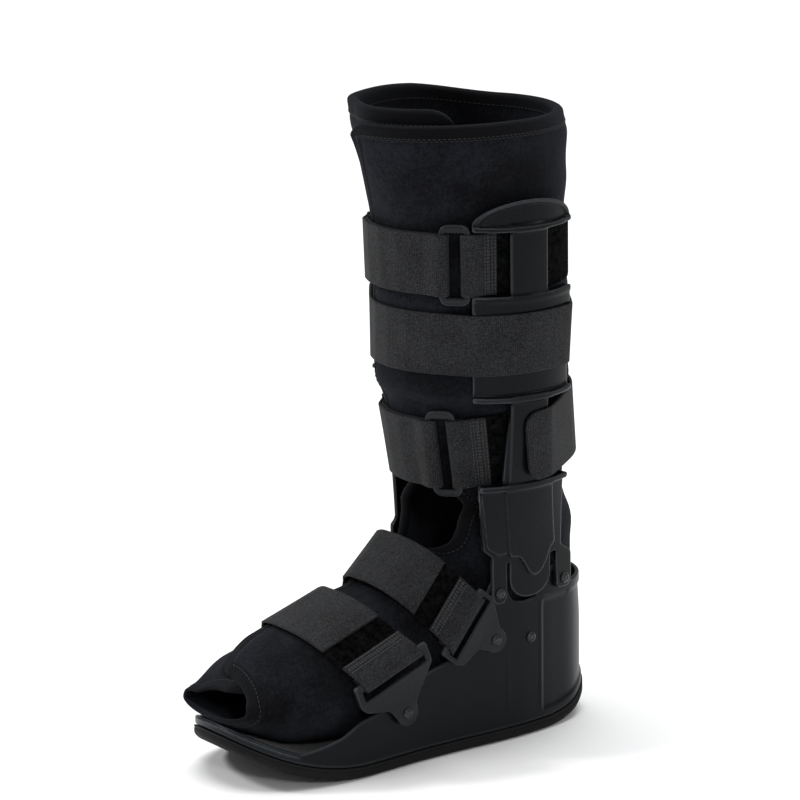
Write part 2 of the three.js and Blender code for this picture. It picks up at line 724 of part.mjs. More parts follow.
// What lies under a strap between two heights of its width, as flat points in its frame.
function under(frame, solids, from, to) {
  const span = 500;
  const slice = new THREE.BoxGeometry(span, span, to - from).translate(0, 0, (from + to) / 2);
  const block = placed(slice, frame);
  const inverse = frame.clone().invert();
  return solids.flatMap((solid) =>
    verticesOf(solid.intersect(block)).map((p) => p.applyMatrix4(inverse)),
  );
}

// The supports under the lower and the upper half of a strap's width, and those halves' edges.
function underStrap(frame, solids, width) {
  const half = width / 2;
  const spare = 2;
  return {
    halves: [under(frame, solids, -half - spare, 0), under(frame, solids, 0, half + spare)],
    heights: [-half, half],
  };
}

const directionOf = (angle) => [Math.cos(radians(angle)), Math.sin(radians(angle))];

// How far a set of flat points reaches in a direction.
function reachOf(points, angle) {
  const [ca, sa] = directionOf(angle);
  return points.reduce((most, p) => Math.max(most, p.x * ca + p.y * sa), -Infinity);
}

// Distance from the frame's centre of a strap pulled tight round its supports, at an angle.
// A support is a set of points and the distance that the strap keeps from it.
const FACING = Array.from({ length: 25 }, (_, i) => (i - 12) * 5);
function tightRadius(supports, angle, lift) {
  const radii = FACING.map((turn) => {
    const facing = angle + turn;
    const reach = Math.max(...supports.map(([points, away]) => reachOf(points, facing) + away));
    return (reach + lift) / Math.cos(radians(turn));
  });
  return Math.min(...radii);
}

function tightRun(supports, from, to, lift = () => 0, step = 7.5) {
  const count = Math.max(2, Math.round(Math.abs(to - from) / step) + 1);
  return Array.from({ length: count }, (_, i) => {
    const angle = lerp(from, to, i / (count - 1));
    const [ca, sa] = directionOf(angle);
    const radius = tightRadius(supports, angle, lift(angle));
    return [radius * ca, radius * sa];
  });
}

// A strap from its centre line at each height of its width, with all lines as many points.
function strapFrom(frame, heights, lines, thickness = WEBBING_THICKNESS) {
  const side = (away) =>
    heights.map((c, i) => {
      const line = lines[i];
      return line.map(([a, b], j) => {
        const [a0, b0] = line[Math.max(j - 1, 0)];
        const [a1, b1] = line[Math.min(j + 1, line.length - 1)];
        const length = Math.hypot(a1 - a0, b1 - b0);
        const offset = [((b1 - b0) / length) * away, ((a0 - a1) / length) * away];
        return new THREE.Vector3(a + offset[0], b + offset[1], c).applyMatrix4(frame);
      });
    });
  return wallBetween(side(thickness / 2), side(-thickness / 2));
}

const LAYER = WEBBING_THICKNESS + GAP;
const HARD_EDGE = 0.45;
const ON_LINER = STRAP_GAP + WEBBING_THICKNESS / 2;
const RING_HALF = RING_SLOT / 2 + RING_BAR;
const FOLD = GAP + WEBBING_THICKNESS / 2;

// A strap's turn round one upright bar of a ring: away from the ring on top, round the bar
// through the slot, and back underneath. side is 1 for the rear bar and -1 for the front one.
function ringTurn(points, angle, side) {
  const [ca, sa] = directionOf(angle);
  const reach = reachOf(points, angle);
  const low = ON_LINER;
  const high = STRAP_GAP + LAYER + RING_THICKNESS + FOLD;
  const slot = RING_HALF - RING_BAR - FOLD;
  return [
    [RING_HALF + 2.6, high - 1.2],
    [RING_HALF + 0.3, high],
    [slot + FOLD + 0.5, high],
    [slot + 0.3, high - 0.5],
    [slot, high - 1.4],
    [slot, low + 1.4],
    [slot + 0.3, low + 0.5],
    [slot + FOLD + 0.5, low],
    [RING_HALF + 2, low],
  ].map(([along, out]) => {
    const t = side * along;
    return [(reach + out) * ca - t * sa, (reach + out) * sa + t * ca];
  });
}
const RING_CLEAR = 18;

// A flat ring with a slot and rounded ends, standing on the strap that passes through it.
function makeRing(frame, halves, angle, width) {
  const [ca, sa] = directionOf(angle);
  const [low, high] = halves.map((points, i) => {
    const reach = reachOf(points, angle) + STRAP_GAP + LAYER;
    const c = (i - 0.5) * width;
    return new THREE.Vector3(reach * ca, reach * sa, c).applyMatrix4(frame);
  });
  const up = new THREE.Vector3().subVectors(high, low).normalize();
  const across = new THREE.Vector3(-sa, ca, 0).transformDirection(frame);
  const out = new THREE.Vector3().crossVectors(across, up).normalize();
  const middle = new THREE.Vector3().addVectors(low, high).multiplyScalar(0.5);
  const tall = width / 2 + RING_END;
  const corner = 5;
  const shape = new THREE.Shape();
  shape.moveTo(-RING_HALF, -tall + corner);
  shape.lineTo(-RING_HALF, tall - corner);
  shape.absarc(-RING_HALF + corner, tall - corner, corner, Math.PI, Math.PI / 2, true);
  shape.lineTo(RING_HALF - corner, tall);
  shape.absarc(RING_HALF - corner, tall - corner, corner, Math.PI / 2, 0, true);
  shape.lineTo(RING_HALF, -tall + corner);
  shape.absarc(RING_HALF - corner, -tall + corner, corner, 0, -Math.PI / 2, true);
  shape.lineTo(-RING_HALF + corner, -tall);
  shape.absarc(-RING_HALF + corner, -tall + corner, corner, -Math.PI / 2, -Math.PI, true);
  const inside = { x: RING_SLOT / 2, y: width / 2 + 0.8 };
  const slot = [
    new THREE.Vector2(-inside.x, -inside.y),
    new THREE.Vector2(inside.x, -inside.y),
    new THREE.Vector2(inside.x, inside.y),
    new THREE.Vector2(-inside.x, inside.y),
  ];
  shape.holes.push(new THREE.Path(slot));
  const plate = new THREE.ExtrudeGeometry(shape, {
    depth: RING_THICKNESS,
    bevelEnabled: false,
    curveSegments: 3,
  });
  return placed(plate, new THREE.Matrix4().makeBasis(across, up, out).setPosition(middle));
}

// One leg strap: the pile strap that holds the ring's rear bar and runs under the struts round
// the back, and the webbing that turns round the front bar and doubles back on itself.
const INNER_END = { pile: 213, webbing: -158, turnedBack: -136 };
function legStrap({ frame, width, solids, ring, tabReach }) {
  const { halves, heights } = underStrap(frame, solids, width);
  const clear = THREE.MathUtils.radToDeg(RING_CLEAR / reachOf(halves[0], ring));
  const pileStart = ring + clear;
  const pile = halves.map((points) => [
    ...tightRun([[points, ON_LINER + LAYER]], ring + tabReach, pileStart),
    ...ringTurn(points, ring, 1),
    ...tightRun([[points, ON_LINER]], pileStart, INNER_END.pile),
  ]);
  const pileEdge = 360 - INNER_END.pile;
  const overPile = (angle) => (LAYER + 0.2) * smoothstep(-angle, pileEdge - 20, pileEdge - 8);
  const webbing = halves.map((points) => [
    ...tightRun([[points, ON_LINER + LAYER]], INNER_END.turnedBack, ring - clear, overPile),
    ...ringTurn(points, ring, -1),
    ...tightRun([[points, ON_LINER]], ring - clear, INNER_END.webbing, overPile),
  ]);
  return {
    pile: strapFrom(frame, heights, pile),
    webbing: strapFrom(frame, heights, webbing),
    ring: makeRing(frame, halves, ring, width),
  };
}

// The middle strap runs once round the liner and both struts, and its end lies on its start.
function middleStrap(frame, solids) {
  const { halves, heights } = underStrap(frame, solids, WEBBING);
  const [from, to] = [-128, 262];
  const overStart = (angle) => LAYER * smoothstep(angle, from + 335, from + 352);
  const lines = halves.map((points) =>
    tightRun([[points, ON_LINER + HARD_EDGE]], from, to, overStart, 5.5),
  );
  return strapFrom(frame, heights, lines);
}

// The ankle strap's free end: from the inner strut round the heel side to the outer strut.
function ankleStrapEnd(frame, solids) {
  const { halves, heights } = underStrap(frame, solids, ANKLE_WEBBING);
  const [from, to] = [-10, 186];
  const lines = halves.map((points) => tightRun([[points, ON_LINER + HARD_EDGE]], from, to));
  return strapFrom(frame, heights, lines);
}

// Foot loops: flat plates on the base's side with a slot behind an outer bar. tilt is the
// bar's slope, half its half length, and the rivet lies below the bar's middle. run is how far
// the strap leans forward on its way up the foot, and overlap holds angles round the strap.
const FOOT_LOOPS = [
  {
    name: "front",
    strap: "toe",
    rivet: RIVETS[4],
    tilt: 21,
    run: 38,
    half: 28.5,
    along: 0,
    drop: 32.5,
    width: TOE_WEBBING,
    overlap: { stitched: 13, cutEnd: 54, tabEnd: 92 },
  },
  {
    name: "rear",
    strap: "instep",
    rivet: RIVETS[2],
    tilt: 51,
    run: 37,
    half: 23.8,
    along: 3.4,
    drop: 28.8,
    width: INSTEP_WEBBING,
    overlap: { stitched: 13, cutEnd: 52, tabEnd: 92 },
  },
];
const LOOP_SLOT = 6.5;
const LOOP_BOSS = 8;

function loopPlacement({ rivet, tilt, along, drop }) {
  const turn = radians(tilt);
  const alongBar = new THREE.Vector3(0, Math.cos(turn), Math.sin(turn));
  const upFoot = new THREE.Vector3(0, -Math.sin(turn), Math.cos(turn));
  const bar = new THREE.Vector3(0, rivet.y, rivet.z)
    .addScaledVector(alongBar, -along)
    .addScaledVector(upFoot, drop);
  const outwards = new THREE.Vector3(1, 0, 0);
  const face = loopFace(rivet.y);
  const matrix = new THREE.Matrix4().makeBasis(alongBar, upFoot, outwards);
  return { bar, face, matrix: matrix.setPosition(face, bar.y, bar.z) };
}

function makeFootLoop(loop) {
  const { half, along, drop, width } = loop;
  const top = LOOP_BAR / 2;
  const slotTop = -top;
  const slotFoot = slotTop - LOOP_SLOT;
  const shape = new THREE.Shape();
  shape.moveTo(-half, top - 1.5);
  shape.lineTo(-half + 1.5, top);
  shape.lineTo(half - 1.5, top);
  shape.lineTo(half, top - 1.5);
  shape.lineTo(half, slotTop - 1.5);
  shape.lineTo(half - 3, slotFoot - 5);
  shape.lineTo(along + LOOP_BOSS, -drop + 3);
  shape.absarc(along, -drop, LOOP_BOSS, 0, -Math.PI, true);
  shape.lineTo(along - LOOP_BOSS - 3, -drop + 7);
  shape.lineTo(-half + 3, slotFoot - 8);
  shape.lineTo(-half, slotFoot - 3);
  const reach = width / 2 + 1.6;
  const slot = [
    new THREE.Vector2(-reach, slotFoot),
    new THREE.Vector2(reach, slotFoot),
    new THREE.Vector2(reach, slotTop),
    new THREE.Vector2(-reach, slotTop),
  ];
  shape.holes.push(new THREE.Path(slot));
  const plate = new THREE.ExtrudeGeometry(shape, {
    depth: LOOP_THICKNESS,
    bevelEnabled: false,
    curveSegments: 5,
  });
  return withHoles(placed(plate, loopPlacement(loop).matrix));
}

// A foot strap's turn round a loop's bar, from outside the bar down through the slot and up
// inside it. side is 1 at the outer loop and -1 at the inner one.
function barTurn(middle, barHalf, side) {
  const out = LOOP_THICKNESS / 2 + FOLD;
  const below = barHalf + FOLD;
  return [
    [out + 0.2, 2],
    [out + 0.1, -below + 1.2],
    [out - 0.6, -below + 0.3],
    [out - 1.5, -below],
    [1.5 - out, -below],
    [0.6 - out, -below + 0.3],
    [-out, -below + 1.2],
    [-out, 2],
  ].map(([away, up]) => [side * (middle.x + away), middle.y + up]);
}

// One foot strap: a short pile tab that turns round the outer loop's bar, and webbing that
// turns round the inner loop's bar, crosses the foot and ends on the tab.
function footStrap(loop, liner) {
  const { bar, face } = loopPlacement(loop);
  const depth = 24;
  const run = radians(loop.run);
  const origin = { y: bar.y + depth * Math.sin(run), z: bar.z - depth * Math.cos(run) };
  const frame = strapFrame(90 + loop.run, origin.y, origin.z, loop.tilt);
  const { halves, heights } = underStrap(frame, [liner], loop.width);
  const middle = new THREE.Vector2(face + LOOP_THICKNESS / 2, depth);
  const barHalf = LOOP_BAR / 2 / Math.cos(radians(loop.tilt - loop.run));
  const barAngle = THREE.MathUtils.radToDeg(Math.atan2(depth + barHalf + 1, middle.x));
  const corner = (out, up) => new THREE.Vector2(out * (middle.x + LOOP_THICKNESS / 2), middle.y + up);
  const corners = [corner(1, barHalf), corner(1, -barHalf), corner(-1, barHalf), corner(-1, -barHalf)];
  const inward = middle.x - LOOP_THICKNESS / 2 - FOLD;
  const inside = [new THREE.Vector2(inward, middle.y + 1), new THREE.Vector2(-inward, middle.y + 1)];
  const outer = (points) => [[points, ON_LINER + LAYER + HARD_EDGE], [corners, FOLD + HARD_EDGE]];
  const inner = (points) => [[points, ON_LINER + HARD_EDGE], [inside, 0]];
  const { stitched, cutEnd, tabEnd } = loop.overlap;
  const level = () => 0;
  const tab = halves.map((points) => [
    ...tightRun(outer(points), barAngle + stitched, barAngle + 1, level, 5),
    ...barTurn(middle, barHalf, 1),
    ...tightRun(inner(points), barAngle + 2, tabEnd),
  ]);
  const onTab = (angle) => (LAYER + 0.2) * (1 - smoothstep(angle, tabEnd + 8, tabEnd + 22));
  const webbing = halves.map((points) => [
    ...tightRun(inner(points), cutEnd, 178 - barAngle, onTab),
    ...barTurn(middle, barHalf, -1).reverse(),
    ...tightRun(outer(points), 179 - barAngle, 180 - barAngle - stitched, level, 5),
  ]);
  return { tab: strapFrom(frame, heights, tab), webbing: strapFrom(frame, heights, webbing) };
}

// Assembly
function material(color, roughness, metalness = 0) {
  return new THREE.MeshStandardMaterial({ color, roughness, metalness });
}
const MATERIALS = {
  shell: material(0x191a1c, 0.5),
  strut: material(0x1d1f22, 0.45),
  rubber: material(0x0f0f10, 0.85),
  foam: material(0x26272a, 0.9),
  felt: material(0x0c0d12, 0.95),
  webbing: material(0x232426, 0.8),
  pile: material(0x0a0a0b, 0.95),
  rivet: material(0x141416, 0.35, 0.3),
};

const boot = new THREE.Group();
boot.name = "medical_walking_boot";

function add(name, solid, finish) {
  const mesh = new THREE.Mesh(geometryFrom(solid), finish);
  mesh.name = name;
  boot.add(mesh);
}

function addPair(name, solid, finish) {
  add(`${name}_outer`, solid, finish);
  add(`${name}_inner`, mirrored(solid), finish);
}

const liner = makeLiner();
const strut = makeStrut(STRUT_HALF_WIDTH);
const innerStrut = withoutFrontFlange(mirrored(makeStrut(INNER_STRUT_HALF_WIDTH)));
const upright = [liner, strut, innerStrut];

add("base_shell", makeBaseShell(), MATERIALS.shell);
add("outsole", makeOutsole(), MATERIALS.rubber);
add("footbed", makeFootbed(), MATERIALS.foam);
add("liner", liner, MATERIALS.felt);
add("strut_outer", strut, MATERIALS.strut);
add("strut_inner", innerStrut, MATERIALS.strut);
for (const rivet of RIVETS) {
  const solid = placed(rivetGeometry(rivet), rivetFrame(rivet));
  addPair(`rivet_${rivet.name}`, solid, MATERIALS.rivet);
}

const upperFrame = strapFrame(0, 2, STRAP_LEVEL.upper);
const middleFrame = strapFrame(0, 2, STRAP_LEVEL.middle);
const ankleFrame = strapFrame(6, 7, STRAP_LEVEL.lower);
const upper = legStrap({
  frame: upperFrame,
  width: WEBBING,
  solids: [liner],
  ring: -44.5,
  tabReach: 23,
});
const ankle = legStrap({
  frame: ankleFrame,
  width: ANKLE_WEBBING,
  solids: [liner],
  ring: -57,
  tabReach: 27,
});
add("upper_pile_strap", upper.pile, MATERIALS.pile);
add("upper_strap", upper.webbing, MATERIALS.webbing);
add("upper_ring", upper.ring, MATERIALS.shell);
add("middle_strap", middleStrap(middleFrame, upright), MATERIALS.webbing);
add("ankle_pile_strap", ankle.pile, MATERIALS.pile);
add("ankle_strap", ankle.webbing, MATERIALS.webbing);
add("ankle_ring", ankle.ring, MATERIALS.shell);
add("ankle_strap_end", ankleStrapEnd(ankleFrame, [...upright, ankle.pile]), MATERIALS.webbing);

for (const loop of FOOT_LOOPS) {
  const { tab, webbing } = footStrap(loop, liner);
  addPair(`foot_loop_${loop.name}`, makeFootLoop(loop), MATERIALS.shell);
  add(`${loop.strap}_pile_tab`, tab, MATERIALS.pile);
  add(`${loop.strap}_strap`, webbing, MATERIALS.webbing);
}

export default boot;
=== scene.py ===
import math

import bmesh
import bpy
import numpy as np
from mathutils import Matrix


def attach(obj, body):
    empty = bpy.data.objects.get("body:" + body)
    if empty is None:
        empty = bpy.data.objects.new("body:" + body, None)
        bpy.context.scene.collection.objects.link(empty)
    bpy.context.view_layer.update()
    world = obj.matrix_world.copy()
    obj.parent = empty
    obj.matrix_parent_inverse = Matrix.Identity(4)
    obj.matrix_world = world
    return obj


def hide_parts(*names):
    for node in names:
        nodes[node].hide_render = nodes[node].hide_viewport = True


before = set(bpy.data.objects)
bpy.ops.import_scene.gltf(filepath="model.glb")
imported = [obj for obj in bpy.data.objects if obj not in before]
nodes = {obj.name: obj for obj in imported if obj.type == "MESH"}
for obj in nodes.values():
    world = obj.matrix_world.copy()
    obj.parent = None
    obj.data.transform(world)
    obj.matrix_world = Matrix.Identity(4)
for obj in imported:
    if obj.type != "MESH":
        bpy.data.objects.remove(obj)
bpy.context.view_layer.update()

# Base shell: the moulded plastic tub that the foot stands in, with raised ears for the struts, low
# walls at the toes and a recessed heel cup. It is one injection moulding in fine-grained nylon.
BASE_LENGTH, BASE_HALF_WIDTH, HEEL_Y = 273.0, 54.0, 76.5
BASE_WALL, EAR_TOP, HEEL_TOP = 3.0, 105.0, 92.0
GAP, OUTSOLE, FLOOR = 0.3, 7.5, 3.0
FLOOR_UNDER = OUTSOLE + GAP
FLOOR_TOP = FLOOR_UNDER + FLOOR
TOE_ROCKER_Y, TOE_ROCKER_RADIUS, HEEL_ROCKER_Y, HEEL_ROCKER_RADIUS = -115, 150, 25, 95
TOE_WALL_Y, TOE_WALL_RISE, RIM_RADIUS = HEEL_Y - 0.88 * BASE_LENGTH, FLOOR_TOP + 3, 1.5
SHELL_COLOUR = (0.0014, 0.0026, 0.004)
MM = 0.001


def smoothstep(value, low, high):
    t = np.clip((value - low) / (high - low), 0, 1)
    return t * t * (3 - 2 * t)


def blur(values, sigma):
    """Values smoothed along their first axis, with both ends kept in place."""
    reach = int(math.ceil(3 * sigma))
    weights = np.exp(-0.5 * (np.arange(-reach, reach + 1) / sigma) ** 2)
    weights /= weights.sum()
    flat = values.reshape(len(values), -1)
    padded = np.pad(flat, ((reach, reach), (0, 0)), "edge")
    padded[:reach] = 2 * flat[0] - padded[reach + 1 : 2 * reach + 1][::-1]
    padded[-reach:] = 2 * flat[-1] - padded[-2 * reach - 1 : -reach - 1][::-1]
    out = sum(w * padded[k : k + len(flat)] for k, w in enumerate(weights))
    return out.reshape(values.shape)


def smooth_loop(points, steps):
    """A closed centripetal curve through the points, steps to each span."""
    p = np.asarray(points, float)
    spans = []
    for i in range(len(p)):
        p0, p1, p2, p3 = (p[(i + k - 1) % len(p)] for k in range(4))
        d0, d1, d2 = (max(np.linalg.norm(b - a) ** 0.5, 1e-4) for a, b in ((p0, p1), (p1, p2), (p2, p3)))
        t1 = ((p1 - p0) / d0 - (p2 - p0) / (d0 + d1) + (p2 - p1) / d1) * d1
        t2 = ((p2 - p1) / d1 - (p3 - p1) / (d1 + d2) + (p3 - p2) / d2) * d1
        t = np.arange(steps)[:, None] / steps
        spans.append(p1 + t1 * t + (3 * (p2 - p1) - 2 * t1 - t2) * t**2 + (2 * (p1 - p2) + t1 + t2) * t**3)
    return np.concatenate(spans)


def in_scene(name, data):
    made = bpy.data.objects.new(name, data)
    bpy.context.scene.collection.objects.link(made)
    return made


def mended(mesh, weld=0.0, slivers=0.0):
    """Welds near points and drops slivers, each within its metres, and turns the faces outward."""
    clean = bmesh.new()
    clean.from_mesh(mesh)
    if weld:
        bmesh.ops.remove_doubles(clean, verts=clean.verts, dist=weld)
    if slivers:
        bmesh.ops.dissolve_degenerate(clean, edges=clean.edges, dist=slivers)
    bmesh.ops.recalc_face_normals(clean, faces=clean.faces)
    clean.to_mesh(mesh)
    clean.free()
    mesh.polygons.foreach_set("use_smooth", [True] * len(mesh.polygons))


def mesh_piece(name, points, faces, uv=None):
    """A piece from points in millimetres. uv holds one pair for each point, in millimetres too."""
    mesh = bpy.data.meshes.new(name)
    mesh.from_pydata((np.asarray(points, float) * MM).tolist(), [], [list(map(int, f)) for f in faces])
    if uv is not None:
        layer = mesh.uv_layers.new(name="weave")
        loops = np.empty(len(mesh.loops), np.int32)
        mesh.loops.foreach_get("vertex_index", loops)
        layer.data.foreach_set("uv", (np.asarray(uv)[loops] * MM).astype(np.float32).ravel())
    mesh.update()
    mesh.polygons.foreach_set("use_smooth", [True] * len(mesh.polygons))
    return in_scene(name, mesh)


def grid_faces(rows, columns, wrap=False, start=0):
    i, j = np.meshgrid(np.arange(rows - 1), np.arange(columns if wrap else columns - 1), indexing="ij")
    after = (j + 1) % columns
    a, b = start + i * columns + j, start + i * columns + after
    return np.stack([a, b, b + columns, a + columns], -1).reshape(-1, 4)


def half_outline():
    """The base's outer half seen from above, from heel to toe: points and outward directions.
    Its points are about a millimetre apart."""
    shares = [0, 0.018, 0.079, 0.16, 0.244, 0.335, 0.445, 0.555, 0.665, 0.738, 0.837, 0.929, 0.984, 1]
    widths = [0, 0.4, 0.7, 0.84, 0.91, 0.93, 0.925, 0.935, 0.98, 1, 0.945, 0.76, 0.41, 0]
    side = [(w * BASE_HALF_WIDTH, HEEL_Y - s * BASE_LENGTH) for s, w in zip(shares, widths)]
    steps = 60
    loop = smooth_loop(side + [(-x, y) for x, y in side[-2:0:-1]], steps)
    half = np.concatenate([loop[: steps * (len(side) - 1)], [side[-1]]])
    length = np.concatenate([[0], np.cumsum(np.linalg.norm(np.diff(half, axis=0), axis=1))])
    at = np.linspace(0, length[-1], int(length[-1]) + 1)
    points = np.stack([np.interp(at, length, half[:, k]) for k in (0, 1)], -1)
    tangent = np.gradient(points, axis=0)
    tangent /= np.linalg.norm(tangent, axis=1)[:, None]
    outward = np.stack([-tangent[:, 1], tangent[:, 0]], -1)
    outward[0], outward[-1] = (0, 1), (0, -1)
    return points, outward


HALF, HALF_OUT = half_outline()
OUTLINE = np.concatenate([HALF, HALF[-2:0:-1] * (-1, 1)])
OUTLINE_OUT = np.concatenate([HALF_OUT, HALF_OUT[-2:0:-1] * (-1, 1)])
WIDTH_Y, WIDTH_X = HALF[::-1, 1], HALF[::-1, 0]


def base_width(y):
    return np.interp(y, WIDTH_Y, WIDTH_X)


def sole_height(y):
    """How far the sole curves up from the ground at heel and toe."""
    y = np.asarray(y, float)
    rise = 0
    for reach, radius in ((TOE_ROCKER_Y - y, TOE_ROCKER_RADIUS), (y - HEEL_ROCKER_Y, HEEL_ROCKER_RADIUS)):
        rise = rise + (radius - np.sqrt(radius**2 - np.clip(reach, 0, radius) ** 2))
    return rise


def wall_top(y):
    """The height of the shell's rim: the heel cup, the two ears, and the wall that falls to the toes."""
    shares = [0.105, 0.118, 0.14, 0.183, 0.194, 0.205, 0.23, 0.262, 0.29, 0.308, 0.314, 0.325, 0.352]
    shares += [0.368, 0.478, 0.555, 0.65, 0.727, 0.778, 0.83, 0.88]
    rise = [HEEL_TOP / EAR_TOP, 0.97, 1, 1, 0.94, 0.88, 0.84, 0.835, 0.85, 0.9, 0.97, 1, 1, 0.93]
    rise += [60 / EAR_TOP, 0.515, 0.385, 0.343, 0.27, 0.235]
    heights = [r * EAR_TOP for r in rise] + [float(sole_height(TOE_WALL_Y)) + TOE_WALL_RISE]
    at = HEEL_Y - np.array(shares) * BASE_LENGTH
    steps = np.arange(-205, 85, 0.5)
    line = np.interp(steps, at[::-1], heights[::-1])
    line = np.where(steps < TOE_WALL_Y, sole_height(steps) + TOE_WALL_RISE, line)
    return np.interp(y, steps, blur(line, 2.4))


def loop_body(name, rings, columns=2, bottom=None):
    """A closed body of level rings of one size, shut below and above by strips that run across it.
    bottom moves the points of the lower shut face."""
    rings = np.asarray(rings, float)
    rows, size = rings.shape[:2]
    points = [rings.reshape(-1, 3)]
    faces = [grid_faces(rows, size, wrap=True)]
    half = size // 2
    for ring, flip, shape in ((rings[0], True, bottom), (rings[-1], False, None)):
        right, left = ring[: half + 1], np.concatenate([ring[:1], ring[: half - 1 : -1]])[: half + 1]
        share = np.linspace(0, 1, columns if shape else 2)[None, :, None]
        cap = right[:, None] * (1 - share) + left[:, None] * share
        if shape:
            cap = shape(cap)
        start = sum(len(p) for p in points)
        shut = grid_faces(cap.shape[0], cap.shape[1], start=start)
        points.append(cap.reshape(-1, 3))
        faces.append(shut[:, ::-1] if flip else shut)
    piece = mesh_piece(name, np.concatenate(points), np.concatenate(faces))
    mended(piece.data, weld=2e-5, slivers=1e-6)
    return piece


class Look:
    """A new material: its shader with set values, its nodes and the object's own coordinates."""

    def __init__(self, name, **values):
        self.material = bpy.data.materials.new(name)
        self.material.use_nodes = True
        self.tree = self.material.node_tree
        self.shader = self.tree.nodes["Principled BSDF"]
        self.place = self.add("ShaderNodeTexCoord").outputs["Object"]
        for key, value in values.items():
            self.shader.inputs[key.replace("_", " ")].default_value = value

    def add(self, kind, inputs=None, **settings):
        node = self.tree.nodes.new(kind)
        for key, value in settings.items():
            setattr(node, key, value)
        for key, value in (inputs or {}).items():
            if isinstance(value, bpy.types.NodeSocket):
                self.tree.links.new(value, node.inputs[key])
            else:
                node.inputs[key].default_value = value
        return node

    def noise(self, scale, detail, roughness=0.5, vector=None):
        inputs = {"Vector": self.place if vector is None else vector, "Scale": scale}
        inputs.update({"Detail": detail, "Roughness": roughness})
        return self.add("ShaderNodeTexNoise", inputs).outputs["Fac"]

    def cells(self, scale, randomness=1.0):
        inputs = {"Vector": self.place, "Scale": scale, "Randomness": randomness}
        return self.add("ShaderNodeTexVoronoi", inputs).outputs["Distance"]

    def combined(self, operation, *values):
        return self.add("ShaderNodeMath", dict(enumerate(values)), operation=operation).outputs["Value"]

    def ramp(self, factor, dark, light, low=0.35, high=0.65):
        ramp = self.add("ShaderNodeValToRGB", {"Fac": factor})
        for stop, position, colour in zip(ramp.color_ramp.elements, (low, high), (dark, light)):
            stop.position, stop.color = position, (*colour, 1)
        return ramp.outputs["Color"]

    def coloured(self, colour):
        self.tree.links.new(colour, self.shader.inputs["Base Color"])

    def blend(self, factor, first, second):
        """The first colour, and the set second one where factor is high."""
        mix = self.add("ShaderNodeMix", {"Factor": factor}, data_type="RGBA")
        self.tree.links.new(first, mix.inputs[6])
        mix.inputs[7].default_value = (*second, 1)
        return mix.outputs[2]

    def bumps(self, *layers):
        """Bump nodes in a row: each layer is a height socket, its strength and its depth in metres."""
        normal = None
        for height, strength, distance in layers:
            inputs = {"Height": height, "Strength": strength, "Distance": distance}
            if normal is not None:
                inputs["Normal"] = normal
            normal = self.add("ShaderNodeBump", inputs).outputs["Normal"]
        self.tree.links.new(normal, self.shader.inputs["Normal"])
        return self.material


def moulded_plastic(name, colour, roughness, grain):
    """Injection-moulded nylon: fine spark-eroded grain, flow clouds and scuffs, and a painted highlight
    along the convex edges.
    """
    look = Look(name, Specular_IOR_Level=0.11)
    clouds, fine, pits = look.noise(38, 4, 0.6), look.noise(2600, 2), look.cells(1500)
    stretch = {"Vector": look.place, "Scale": (60, 700, 90), "Rotation": (0.4, 0.2, 0.5)}
    scuffs = look.noise(1, 3, vector=look.add("ShaderNodeMapping", stretch).outputs["Vector"])
    base = look.ramp(clouds, [c * 0.86 for c in colour], [c * 1.16 for c in colour])
    # Painted highlight: convex edges, found by pointiness, are painted a lighter grey-blue in the base
    # colour.
    bend = look.add("ShaderNodeNewGeometry").outputs["Pointiness"]
    edge = look.add("ShaderNodeMapRange", {"Value": bend, "From Min": 0.51, "From Max": 0.57, "To Max": 0.9})
    look.coloured(look.blend(edge.outputs["Result"], base, (0.06, 0.067, 0.075)))
    rubbed = {"Value": scuffs, "From Min": 0.55, "From Max": 0.8}
    worn = look.add("ShaderNodeMapRange", {**rubbed, "To Min": roughness, "To Max": roughness - 0.09})
    look.tree.links.new(worn.outputs["Result"], look.shader.inputs["Roughness"])
    return look.bumps((clouds, 0.12, 0.0008), (pits, 0.22 * grain, 0.00012), (fine, 0.25 * grain, 0.0001))


def outline_ring(out, height):
    """The base's outline moved out, at a height that is a number or follows y."""
    flat = OUTLINE + OUTLINE_OUT * np.asarray(out, float).reshape(-1, 1)
    z = height(flat[:, 1]) if callable(height) else np.broadcast_to(height, len(flat))
    return np.column_stack([flat, z])


